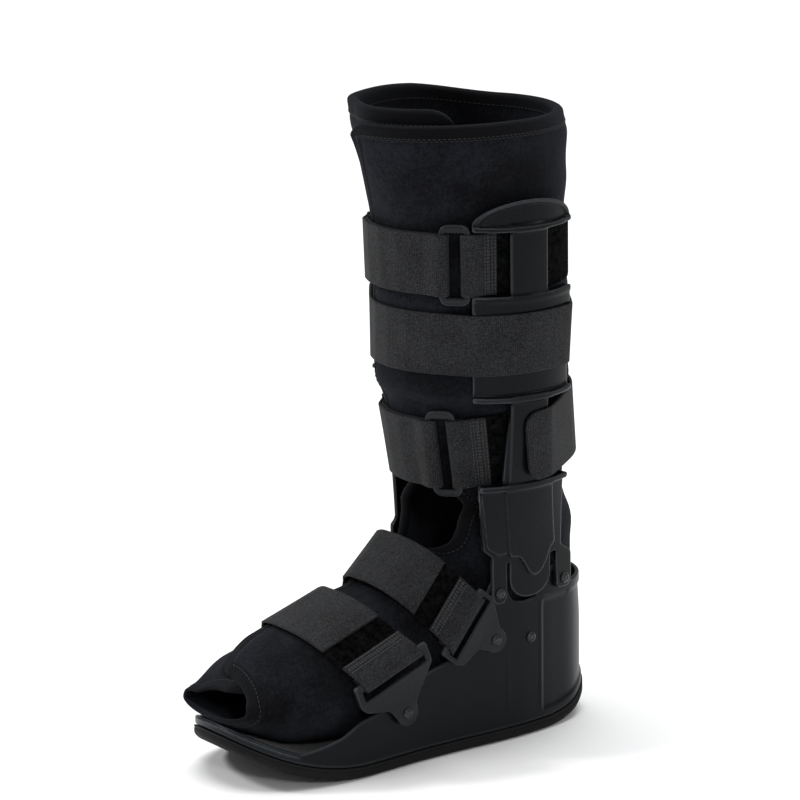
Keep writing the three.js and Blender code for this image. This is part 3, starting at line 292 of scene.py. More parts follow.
def make_base_shell():
    y = OUTLINE[:, 1]
    low = sole_height(y) + FLOOR_UNDER
    top = wall_top(y)

    def relief(z):
        """The recessed heel cup, its front ridge, the seam under the strut, a low line and the ears."""
        inside = smoothstep(y, 20.5, 22.5) * smoothstep(z, low + 4.5, low + 7.5)
        inside = inside * (1 - smoothstep(z, HEEL_TOP - 9, HEEL_TOP - 6))
        ridge = np.exp(-(((y - 19.3) / 1.3) ** 2)) * smoothstep(z, 14, 20) * (1 - smoothstep(z, 80, 86))
        seam = np.exp(-(((y + 8) / 0.7) ** 2)) * smoothstep(z, 16, 24) * (1 - smoothstep(z, 52, 60))
        lower = np.exp(-(((z - low - 6 - 0.02 * (y + 40)) / 0.8) ** 2)) * smoothstep(-y, 8, 40)
        ears = smoothstep(z, 86, 93) * smoothstep(np.abs(y - 11), 12, 18)
        return -1.2 * inside + 0.5 * ridge + 0.35 * seam - 0.22 * lower + 0.12 * ears

    rings = []
    for out, up in ((-1.6, 0), (-0.9, 0.1), (-0.35, 0.45), (-0.08, 1.0), (0, 2.4), (0, 3.8)):
        rings.append(outline_ring(out, low + up))
    for t in np.linspace(0, 1, 54):
        z = (low + 5) * (1 - t) + (top - RIM_RADIUS) * t
        rings.append(outline_ring(relief(z), z))
    for turn in np.radians([25, 50, 75, 100, 125, 150]):
        round_out, round_up = RIM_RADIUS * math.cos(turn), RIM_RADIUS * math.sin(turn)
        rings.append(outline_ring(-RIM_RADIUS + round_out, top - RIM_RADIUS + round_up))
    floor = sole_height(y) + FLOOR_TOP
    for t in np.linspace(0, 1, 22):
        z = (top - RIM_RADIUS) * (1 - t) + (floor + 3) * t
        rings.append(outline_ring(-BASE_WALL, z))
    rings.append(outline_ring(-BASE_WALL - 0.4, floor + 1))
    rings.append(outline_ring(-BASE_WALL - 1.6, floor))
    rings = np.array(rings)
    lean = smoothstep(rings[..., 2], HEEL_TOP - 32, HEEL_TOP + 4) * smoothstep(rings[..., 1], 45, HEEL_Y)
    rings[..., 1] -= 2.2 * lean
    shell = loop_body("base_shell_moulding", rings)
    shell.data.materials.append(moulded_plastic("shell_nylon", SHELL_COLOUR, 0.36, 0.7))
    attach(shell, "root")
    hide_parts("base_shell")


make_base_shell()

# Outsole: a black rubber sole bonded under the shell, with a rocker at heel and toe and moulded
# cross grooves and small tread bars that keep it from slipping.
TREAD_PITCH, TREAD_WIDTH, TREAD_DEPTH = 19.0, 4.0, 2.0


def make_outsole():
    levels = [(-2.4, 0), (-1.2, 0.35), (-0.2, 1.0), (0.5, 1.8), (0.8, 2.6), (0.8, 5.2), (0.45, 5.5)]
    levels += [(0.45, 5.9), (0.8, 6.2), (0.8, 7.0), (0.6, 7.35), (0.1, OUTSOLE)]
    rings = [outline_ring(out, lambda y, up=up: sole_height(y) + up) for out, up in levels]
    grooves = [11.0 - i * TREAD_PITCH for i in range(7)]

    def tread(cap):
        y, x = cap[..., 1], cap[..., 0]
        reach = base_width(y) - 9
        inside = 1 - smoothstep(np.abs(x), reach - 0.8, reach)
        near, far = TREAD_WIDTH / 2 - 0.5, TREAD_WIDTH / 2 + 0.3
        cut = sum(1 - smoothstep(np.abs(y - g), near, far) for g in grooves)
        fine = 0.5 + 0.5 * np.cos((y - 11) / TREAD_PITCH * 2 * np.pi * 4)
        cap[..., 2] += inside * np.maximum(TREAD_DEPTH * cut, 0.7 * smoothstep(fine, 0.55, 0.85))
        return cap

    sole = loop_body("rubber_outsole", rings, columns=60, bottom=tread)
    look = Look("sole_rubber_black", Roughness=0.72, Specular_IOR_Level=0.2)
    dust, grit = look.noise(90, 6, 0.7), look.noise(1400, 3)
    look.coloured(look.ramp(dust, (0.0016, 0.0016, 0.0018), (0.004, 0.004, 0.0044)))
    sole.data.materials.append(look.bumps((dust, 0.2, 0.0004), (grit, 0.35, 0.00015)))
    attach(sole, "root")
    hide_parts("outsole")


make_outsole()

# Footbed: a flat foam insole cut to the inside of the shell and laid on its floor. Its cloth
# cover shows as a narrow grey band inside the toe rim.
BED_THICK = 3.5


def make_footbed():
    floor = FLOOR_TOP + GAP
    edge = -BASE_WALL - 1 - GAP
    levels = [(edge - 0.5, 0), (edge, 0.4), (edge, 2.6), (edge - 0.4, 3.2), (edge - 1.2, BED_THICK)]
    rings = [outline_ring(out, lambda y, up=up: sole_height(y) + floor + up) for out, up in levels]
    bed = loop_body("footbed_foam", rings)
    look = Look("footbed_cover", Roughness=0.9, Sheen_Weight=0.2)
    look.coloured(look.ramp(look.noise(60, 3), (0.007, 0.0072, 0.008), (0.012, 0.0125, 0.014)))
    bed.data.materials.append(look.bumps((look.cells(900, 0.5), 0.6, 0.0003)))
    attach(bed, "root")
    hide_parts("footbed")


make_footbed()

# Side struts: one moulded upright on each side of the leg, hollow-backed nylon with a domed cap,
# two strap windows, a raised centre panel and a rounded lobe that sits in the notch of the base.
STRUT_COLOUR = (0.0014, 0.0022, 0.0031)
STRUT_RADIUS, STRUT_CENTRE_Y, STRUT_PLATE = 61.8, 3.0, 3.2
STRUT_TOP, STRUT_FOOT, STRUT_RIVETS = 344.0, 90.2, ((-16.5, 97.2), (37.5, 96.3))
HIGH_WINDOW, HIGH_WINDOW_HALF, LOW_WINDOW, LOW_WINDOW_HALF = 305.5, 19.6, 193.5, 26
FLARE_LOW, FLARE_HIGH = EAR_TOP + 2, 226.0
VOXEL = 0.75


def strut_face(y, z):
    low = base_width(y) + GAP
    high = np.sqrt(STRUT_RADIUS**2 - (y - STRUT_CENTRE_Y) ** 2)
    share = smoothstep(z, FLARE_LOW, FLARE_HIGH)
    return low * (1 - share) + high * share


def on_strut(y, z, offset):
    """Points at a height above the strut's inner face, for flat places y and z on it."""
    along = strut_face(y + 1, z) - strut_face(y - 1, z)
    rise = strut_face(y, z + 1) - strut_face(y, z - 1)
    normal = np.stack([np.full_like(y, 2.0), -along, -rise], -1)
    normal /= np.linalg.norm(normal, axis=-1)[..., None]
    return np.stack([strut_face(y, z), y, z], -1) + normal * offset[..., None]


def rounded(corners, radius, steps=4):
    """A closed outline with each corner rounded by up to radius."""
    p = np.asarray(corners, float)
    out = []
    for before, here, after in zip(np.roll(p, 1, 0), p, np.roll(p, -1, 0)):
        a, b = before - here, after - here
        la, lb = np.linalg.norm(a), np.linalg.norm(b)
        cut = min(radius, la * 0.45, lb * 0.45)
        start, end = here + a / la * cut, here + b / lb * cut
        for t in np.linspace(0, 1, steps):
            out.append(start * (1 - t) ** 2 + here * 2 * t * (1 - t) + end * t**2)
    return out


def evaluated_mesh(made):
    """An object's mesh with its modifiers applied."""
    return bpy.data.meshes.new_from_object(made.evaluated_get(bpy.context.evaluated_depsgraph_get()))


def flat_block(body, outline, low, high, radius):
    """Adds an upright block over a flat outline to a bmesh, with x as its height."""
    corners = rounded(outline, radius)
    verts = [body.verts.new((low * MM, y * MM, z * MM)) for y, z in corners]
    face = body.faces.new(verts)
    grown = bmesh.ops.extrude_face_region(body, geom=[face])
    moved = [v for v in grown["geom"] if isinstance(v, bmesh.types.BMVert)]
    bmesh.ops.translate(body, verts=moved, vec=((high - low) * MM, 0, 0))


def flat_strut(half, front_flange):
    """The strut before it is laid on the leg. Beside the ankle the inner one has no front flange.
    f and r are its front and rear edges, cf and cr those of the column between the windows."""
    (front, _), (rear, _) = STRUT_RIVETS
    mid, column = -1.0, 12.5
    f, r = mid - half, mid + half
    cf, cr = mid - column, mid + column
    up_low, up_high = HIGH_WINDOW - HIGH_WINDOW_HALF, HIGH_WINDOW + HIGH_WINDOW_HALF
    lo_low, lo_high = LOW_WINDOW - LOW_WINDOW_HALF, LOW_WINDOW + LOW_WINDOW_HALF
    shoulder = up_high + 4
    dome = STRUT_TOP - shoulder
    turns = np.linspace(math.pi, 0, 25)
    arc = [(mid + math.cos(t) * half, shoulder + math.sin(t) * dome) for t in turns]
    foot, ear = STRUT_FOOT, EAR_TOP
    slit = ear + 11
    lobe_f, lobe_r, lobe_foot = front + 7.8, rear - 12.8, foot + 0.5
    lobe_mid = (lobe_f + lobe_r) / 2
    wide, deep = (lobe_r - lobe_f) / 2, 13
    plate = [(front - 5.8, foot + 4)]
    if front_flange:
        plate += [(front - 5.8, ear + 16), (f + 5, ear + 21), (f + 4, ear + 35), (f + 2, lo_low)]
    else:
        plate += [(front - 5.8, ear + 14), (cf - 5, ear + 18), (cf - 5, lo_low)]
    plate += [(cf - 3, lo_low), (cf, lo_high), (f, lo_high), (f, up_low), (cf, up_low)]
    plate += [(cf, up_high), (f, up_high), *arc, (r, up_high), (cr, up_high), (cr, up_low), (r, up_low)]
    plate += [(r, lo_high), (cr, lo_high), (cr + 2, lo_low), (r + 1, lo_low), (r + 3, ear + 14)]
    plate += [(rear + 6.8, ear + 8), (rear + 6.8, foot + 4), (rear + 3.8, foot), (rear - 4.8, foot)]
    plate += [(rear - 6.8, foot + 3), (rear - 7.8, slit), (lobe_r + 2, slit), (lobe_r, slit)]
    plate.append((lobe_r, lobe_foot + deep))
    turns = np.linspace(0, math.pi, 15)[1:-1]
    plate += [(lobe_mid + wide * math.cos(t), lobe_foot + deep * (1 - math.sin(t))) for t in turns]
    plate += [(lobe_f, lobe_foot + deep), (lobe_f, slit), (lobe_f - 2, slit), (front + 5.8, foot + 4)]
    plate += [(front + 2.8, foot), (front - 2.8, foot)]
    dip = lobe_mid + 1.7
    panel = [(cf - 2.5, lo_low - 2), (cr + 8, lo_low - 2), (lobe_r + 1.3, ear + 18)]
    panel += [(lobe_r - 2.5, ear + 15.5), (dip + 9.6, ear + 8), (dip + 5.4, ear + 1.2), (dip, ear - 0.6)]
    panel += [(dip - 4.6, ear + 1.8), (dip - 8.8, ear + 9), (dip - 12.6, ear + 14), (lobe_f - 1.8, ear + 15)]

    def bar(z0, z1, y0=f, y1=r):
        return [(y0, z0), (y1, z0), (y1, z1), (y0, z1)]

    def bow(z0, z1, sag, y0=f, y1=r):
        steps = np.linspace(0, 1, 13)
        lower = [(y0 + (y1 - y0) * t, z0 - sag * 4 * t * (1 - t)) for t in steps]
        return lower + [(y0 + (y1 - y0) * t, z1 - sag * 4 * t * (1 - t)) for t in steps[::-1]]

    def scaled(points, across, up):
        return [(mid + (y - mid) * across, shoulder + (z - shoulder) * up) for y, z in points]

    wing = [(f + 2.6, lo_low - 1), (cf - 3.6, lo_low - 1), (lobe_f - 3.2, ear + 17.5)]
    wing += [(front - 3, ear + 17.5), (f + 6.6, ear + 22.5), (f + 5.2, ear + 35)]
    lip_front = f + 2 if front_flange else cf - 5
    rim = scaled(arc, 1, 1) + scaled(arc, 0.9, 0.84)[::-1]
    flat = bmesh.new()
    flat_block(flat, plate, 0, STRUT_PLATE, 1.6)
    raised = [
        (panel, 2.3, 2.4),
        (bar(lo_low - 4, lo_high + 4, cf, cr), 2.0, 1.2),
        (bar(up_low - 8, shoulder, cf, cr), 2.0, 1.2),
        *([(wing, 1.3, 1.2)] if front_flange else []),
        (bar(lo_low - 3.6, lo_low, lip_front, r + 1), 3.2, 1.2),
        (bow(lo_high + 1.2, lo_high + 4.4, 1.2), 3.2, 1.2),
        (bow(up_low - 11.4, up_low + 0.6, 1.0), 2.7, 2),
        (bow(up_low - 3.2, up_low + 0.6, 1.0), 3.3, 1.2),
        (bow(up_high + 1.0, up_high + 4.2, 1.5, f + 0.4, r - 0.4), 3.6, 1.2),
        ([(f, up_high), (r, up_high), *scaled(arc, 1, 0.35)[::-1]], 1.2, 1.2),
        (scaled(arc, 0.86, 0.8), 1.2, 2),
        (rim, 2.6, 1.2),
    ]
    for outline, height, radius in raised:
        flat_block(flat, outline, 1, STRUT_PLATE + height, radius)
    bmesh.ops.recalc_face_normals(flat, faces=flat.faces)
    mesh = bpy.data.meshes.new("strut_flat")
    flat.to_mesh(mesh)
    flat.free()
    form = in_scene("strut_flat", mesh)
    remesh = form.modifiers.new("skin", "REMESH")
    remesh.mode, remesh.voxel_size = "VOXEL", VOXEL * MM
    relax = form.modifiers.new("relax", "SMOOTH")
    relax.factor, relax.iterations = 0.5, 3
    solid = evaluated_mesh(form)
    bpy.data.objects.remove(form)
    co = np.empty(len(solid.vertices) * 3)
    solid.vertices.foreach_get("co", co)
    co = co.reshape(-1, 3) * 1000
    return on_strut(co[:, 1], co[:, 2], co[:, 0]), [list(p.vertices) for p in solid.polygons]


def make_struts():
    material = moulded_plastic("strut_nylon", STRUT_COLOUR, 0.3, 0.6)
    for side, turn, half in (("outer", 1, 32.5), ("inner", -1, 26.5)):
        laid, quads = flat_strut(half, front_flange=turn > 0)
        faces = quads if turn > 0 else [q[::-1] for q in quads]
        strut = mesh_piece(f"strut_moulding_{side}", laid * (turn, 1, 1), faces)
        strut.data.materials.append(material)
        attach(strut, "root")
        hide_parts(f"strut_{side}")


make_struts()

# Rivets: domed black steel heads that fasten the struts and the strap loops to the base, each with
# a small flat on top and a washer rim where it seats.
RIVET_HEAD, RIVET_RISE, RIVET_SUNK = 3.6, 1.8, 0.3
HEEL_RIVET, REAR_LOOP_RIVET, FRONT_LOOP_RIVET = (10.7, 63.2), (-19.4, 67.6), (-89.5, 35.6)
ON_STRUT, ON_LOOP = 3.8, 3.6


def base_slope(y):
    return (base_width(y + 1) - base_width(y - 1)) / 2


def loop_face(y, reach=18):
    return max(base_width(y - reach), base_width(y + reach)) + GAP


def rivet_places():
    """Seat and outward direction of each rivet on the outer side."""
    found = []
    on_wall = [(*STRUT_RIVETS[0], ON_STRUT, True), (*STRUT_RIVETS[1], ON_STRUT, True)]
    on_wall.append((*HEEL_RIVET, GAP, True))
    on_loops = [(*REAR_LOOP_RIVET, ON_LOOP, False), (*FRONT_LOOP_RIVET, ON_LOOP, False)]
    for y, z, seat, square in on_wall + on_loops:
        x = base_width(y) if square else loop_face(y) - GAP
        out = np.array([1.0, -base_slope(y) if square else 0, 0])
        out /= np.linalg.norm(out)
        found.append((np.array([x, y, z]) + out * (seat - RIVET_SUNK), out))
    return found


def growing_tree(name, *sockets):
    """A node group that turns its instances along a vector, makes them real and paints them."""
    tree = bpy.data.node_groups.new(name, "GeometryNodeTree")
    keys = {}
    for label, kind in (("Geometry", "Geometry"), *sockets, ("Finish", "Material")):
        socket = tree.interface.new_socket(label, in_out="INPUT", socket_type=f"NodeSocket{kind}")
        keys[label] = socket.identifier
    tree.interface.new_socket("Geometry", in_out="OUTPUT", socket_type="NodeSocketGeometry")
    new, link = tree.nodes.new, tree.links.new
    source, out = new("NodeGroupInput").outputs, new("NodeGroupOutput")
    turn, spread = new("FunctionNodeAlignRotationToVector"), new("GeometryNodeInstanceOnPoints")
    turn.axis = "Z"
    real, paint = new("GeometryNodeRealizeInstances"), new("GeometryNodeSetMaterial")
    link(turn.outputs["Rotation"], spread.inputs["Rotation"])
    link(spread.outputs["Instances"], real.inputs["Geometry"])
    link(real.outputs["Geometry"], paint.inputs["Geometry"])
    link(source["Finish"], paint.inputs["Material"])
    link(paint.outputs["Geometry"], out.inputs["Geometry"])
    return tree, keys, new, link, source, turn, spread


def grow(piece, tree, values):
    """Runs a node group on a piece and keeps what it makes as the piece's mesh."""
    growth = piece.modifiers.new("growth", "NODES")
    growth.node_group = tree
    for key, value in values.items():
        growth[key] = value
    done = evaluated_mesh(piece)
    piece.modifiers.remove(growth)
    piece.data = done


def make_rivets():
    profile = [(0.0, 0.0), (0.98, 0.0), (1.0, 0.12), (1.0, 0.28), (0.93, 0.42), (0.84, 0.5), (0.78, 0.68)]
    profile += [(0.64, 0.86), (0.45, 0.97), (0.36, 0.985), (0.3, 0.9), (0.0, 0.88)]
    sides = 28
    turns = [2 * math.pi * k / sides for k in range(sides)]
    head = bmesh.new()
    rings = []
    for share, up in profile[1:-1]:
        radius, height = share * RIVET_HEAD * MM, up * (RIVET_RISE + RIVET_SUNK) * MM
        ring = [(math.cos(t) * radius, math.sin(t) * radius, height) for t in turns]
        rings.append([head.verts.new(spot) for spot in ring])
    for a, b in zip(rings, rings[1:]):
        for k in range(sides):
            head.faces.new((a[k], a[(k + 1) % sides], b[(k + 1) % sides], b[k]))
    head.faces.new(rings[0][::-1])
    head.faces.new(rings[-1])
    for face in head.faces:
        face.smooth = True
    mesh = bpy.data.meshes.new("rivet_head")
    head.to_mesh(mesh)
    head.free()
    model = in_scene("rivet_head", mesh)

    seats, directions = [], []
    for point, out in rivet_places():
        for side in (1, -1):
            seats.append(point * (side, 1, 1))
            directions.append(out * (side, 1, 1))
    base = mesh_piece("rivet_heads", seats, [])
    facing = base.data.attributes.new("facing", "FLOAT_VECTOR", "POINT")
    facing.data.foreach_set("vector", np.array(directions, np.float32).ravel())

    tree, keys, new, link, source, turn, spread = growing_tree("rivets_on_seats", ("Head", "Object"))
    attribute = new("GeometryNodeInputNamedAttribute")
    attribute.data_type = "FLOAT_VECTOR"
    attribute.inputs["Name"].default_value = "facing"
    info = new("GeometryNodeObjectInfo")
    link(source["Geometry"], spread.inputs["Points"])
    link(source["Head"], info.inputs["Object"])
    link(info.outputs["Geometry"], spread.inputs["Instance"])
    link(attribute.outputs["Attribute"], turn.inputs["Vector"])

    look = Look("rivet_black_steel", Metallic=0.55, Roughness=0.36)
    wear = look.noise(700, 4)
    look.coloured(look.ramp(wear, (0.011, 0.011, 0.012), (0.032, 0.033, 0.035)))
    finish = look.bumps((wear, 0.15, 0.0001))
    grow(base, tree, {keys["Head"]: model, keys["Finish"]: finish})
    bpy.data.objects.remove(model)
    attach(base, "root")
    holds = ("strut_front", "strut_rear", "heel", "loop_rear", "loop_front")
    names = [f"rivet_{held}_{side}" for held in holds for side in ("outer", "inner")]
    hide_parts(*names)


make_rivets()

# Liner: a padded boot of brushed fleece over foam, open down the front. The outer flap laps over the
# inner one, the ankle is cut out in front, and a folded binding is stitched along every edge.
CALF, LINER_TOP, LINER_TOE, LINER_WALL, FLAP_STEP = 60.0, 391.0, -197.0, 6.0, 7.0
FOOT_HALF, FOOT_TOP, BINDING, SEAM_FROM_EDGE = 54, 105, 9.5, 7.4
BED_TOP = FLOOR_TOP + GAP + BED_THICK
PIVOT_Y, PIVOT_Z = -72.0, 150.0
EDGE_STEPS = np.array([0, 0.25, 0.9, 1.8, 2.9, 4.2, 5.6, 7.0, 8.4, 9.2, 9.9, 11.5, 14.0])
LINER_COLOUR = (0.0034, 0.0037, 0.0052)


def heel_reach(turn):
    for reach in np.arange(90, 260, 0.5):
        y, z = PIVOT_Y + reach * math.cos(turn), PIVOT_Z - reach * math.sin(turn)
        if y > HEEL_Y - BASE_WALL - 2.5 or z < sole_height(y) + BED_TOP + GAP:
            return reach - 0.5
    return 260.0


def liner_sections():
    """Rows of centre (3), forward direction (3), side, front, back, squareness, inner and outer edge.
    leg holds height, shift, side, front, back and edges, ankle holds tilt, front, side and edges, and
    foot holds length, top, side and edges, as shares of the measures above. Edges are in degrees."""
    leg = [(1, 0, 1, 1.36, 0.985, 58, -369), (0.955, 0.01, 0.995, 1.27, 0.99, 60, -371)]
    leg += [(0.885, 0.025, 0.985, 1.13, 0.99, 58, -378), (0.831, 0.035, 0.98, 1.03, 0.985, 56, -387)]
    leg += [(0.734, 0.035, 0.98, 1, 0.985, 54, -390), (0.67, 0.035, 0.98, 1, 0.975, 54, -390)]
    leg += [(0.606, 0.05, 0.97, 1.02, 0.965, 54, -390), (0.575, 0.065, 0.95, 1.02, 0.955, 54, -390)]
    leg += [(0.545, 0.08, 0.93, 0.95, 0.94, 54, -388), (0.486, 0.11, 0.885, 0.9, 0.915, 50, -386)]
    leg += [(0.44, 0.13, 0.85, 0.87, 0.89, 40, -380), (0.417, 0.14, 0.835, 0.86, 0.88, -20, -336)]
    leg += [(0.402, 0.145, 0.825, 0.86, 0.87, -46, -325), (0.386, 0.15, 0.815, 0.86, 0.87, -50, -318)]
    ankle = [(10, 0.45, 0.8, -50, -316), (22, 0.46, 0.775, -50, -317), (34, 0.48, 0.765, -48, -322)]
    ankle += [(45, 0.52, 0.755, -44, -336), (52, 0.54, 0.75, -20, -356), (60, 0.56, 0.745, 24, -376)]
    ankle += [(74, 0.58, 0.735, 40, -384)]
    foot = [(0.405, 0.975, 0.79, 42, -384), (0.49, 0.93, 0.81, 42, -384), (0.62, 0.87, 0.835, 42, -384)]
    foot += [(0.76, 0.79, 0.815, 40, -382), (0.86, 0.75, 0.76, 36, -380), (0.94, 0.72, 0.67, 28, -376)]
    foot += [(1, 0.7, 0.58, 16, -372)]
    rows = []
    for up, shift, side, front, back, inner, outer in leg:
        centre = (0, shift * CALF, up * LINER_TOP)
        rows.append([*centre, 0, -1, 0, side * CALF, front * CALF, back * CALF, 2, inner, outer])
    for tilt, front, side, inner, outer in ankle:
        turn = math.radians(tilt)
        near, far = front * CALF, heel_reach(turn)
        middle = near + (far - near) * 0.36
        y, z = PIVOT_Y + middle * math.cos(turn), PIVOT_Z - middle * math.sin(turn)
        forward = (0, -math.cos(turn), math.sin(turn))
        square = 2 + 0.5 * tilt / 90
        rows.append([0, y, z, *forward, side * CALF, middle - near, far - middle, square, inner, outer])
    for along, top, side, inner, outer in foot:
        y = along * LINER_TOE
        bottom = float(sole_height(y)) + BED_TOP + GAP
        middle = bottom + (top * FOOT_TOP - bottom) * 0.45
        sizes = (side * FOOT_HALF, top * FOOT_TOP - middle, middle - bottom)
        rows.append([0, y, middle, 0, 0, 1, *sizes, 2.5, inner, outer])
    return np.array(rows, float)


def between_sections(table):
    """The sections filled in smoothly, close together at the top and toe edges."""
    edge = EDGE_STEPS[:-1]
    out, last = [], len(table) - 2
    for i in range(len(table) - 1):
        p0, p1, p2, p3 = (table[min(max(i + k, 0), len(table) - 1)] for k in (-1, 0, 1, 2))
        gap = np.linalg.norm(p2[:3] - p1[:3])
        if i == 0:
            shares = np.concatenate([edge, np.arange(13.5, gap, 2.2)]) / gap
        elif i == last:
            shares = np.concatenate([[0], 1 - edge[edge < gap - 0.5][::-1] / gap])
        else:
            around = gap + 14 * abs(p2[5] - p1[5])
            shares = np.linspace(0, 1, max(3, int(around / 2.3)), endpoint=False)
        for t in shares:
            m1, m2 = (p2 - p0) / 2, (p3 - p1) / 2
            if i == 0:
                m1 = p2 - p1
            h = (2 * t**3 - 3 * t**2 + 1, t**3 - 2 * t**2 + t, -2 * t**3 + 3 * t**2, t**3 - t**2)
            out.append(h[0] * p1 + h[1] * m1 + h[2] * p2 + h[3] * m2)
    out = np.array(out)
    out[:, 3:6] /= np.linalg.norm(out[:, 3:6], axis=1)[:, None]
    return out


def section_points(rows, degrees, inset):
    def at(angle):
        c, s = np.cos(np.radians(angle)), np.sin(np.radians(angle))
        power = 2 / rows[:, 9:10]
        reach = np.where(c > 0, rows[:, 7:8], rows[:, 8:9])
        forward = np.sign(c) * np.abs(c) ** power * reach
        aside = np.sign(s) * np.abs(s) ** power * rows[:, 6:7]
        return np.stack([forward, aside], -1)

    here, slope = at(degrees), at(degrees + 2) - at(degrees - 2)
    slope /= np.linalg.norm(slope, axis=-1)[..., None]
    forward = here[..., 0] - slope[..., 1] * inset
    aside = here[..., 1] + slope[..., 0] * inset
    points = rows[:, None, :3] + rows[:, None, 3:6] * forward[..., None]
    points[..., 0] += aside
    return points


def padding_swell(points, degrees):
    """How far the padding stands out between the straps, with the slack folds of worn fleece. The
    struts press it flat, and the waves are folds round the leg, over the instep and at the toes."""
    x, y, z = points[..., 0], points[..., 1], points[..., 2]

    def between(value, low, high):
        soft = 0.45 * (high - low)
        return smoothstep(value, low, low + soft) * (1 - smoothstep(value, high - soft, high))

    swell = 1.3 * between(z, 274, 288) + 2.3 * between(z, 214, 238) + 1.6 * smoothstep(z, 326, 352)
    strut = smoothstep(np.abs(x), 36, 46) * between(y, -44, 42) * (1 - smoothstep(z, 346, 352))
    on_leg = smoothstep(z, 200, 214)
    turn = np.radians(degrees)
    folds = 0.55 * np.sin(z * 0.075 + 2.1 * np.sin(turn * 2)) * np.sin(turn * 3 + 0.8)
    folds = folds + 0.35 * np.sin(z * 0.19 + turn * 4 + 1.7)
    toe = smoothstep(-y, 128, 150) * (1.1 + 0.6 * np.sin(y * 0.16 + x * 0.09))
    instep = smoothstep(-y, 60, 90) * (0.5 + 0.5 * np.sin(y * 0.21 + 1.0)) * smoothstep(z, 60, 80)
    creases = 0.8 * np.sin((z - 0.7 * y) * 0.16 + 0.4 * np.sin(x * 0.1)) * between(z, 96, 168)
    leg = (swell + folds * on_leg * (swell > 0.1)) * (1 - strut)
    return leg + toe + 0.3 * instep + np.clip(creases, -0.5, 0.8)


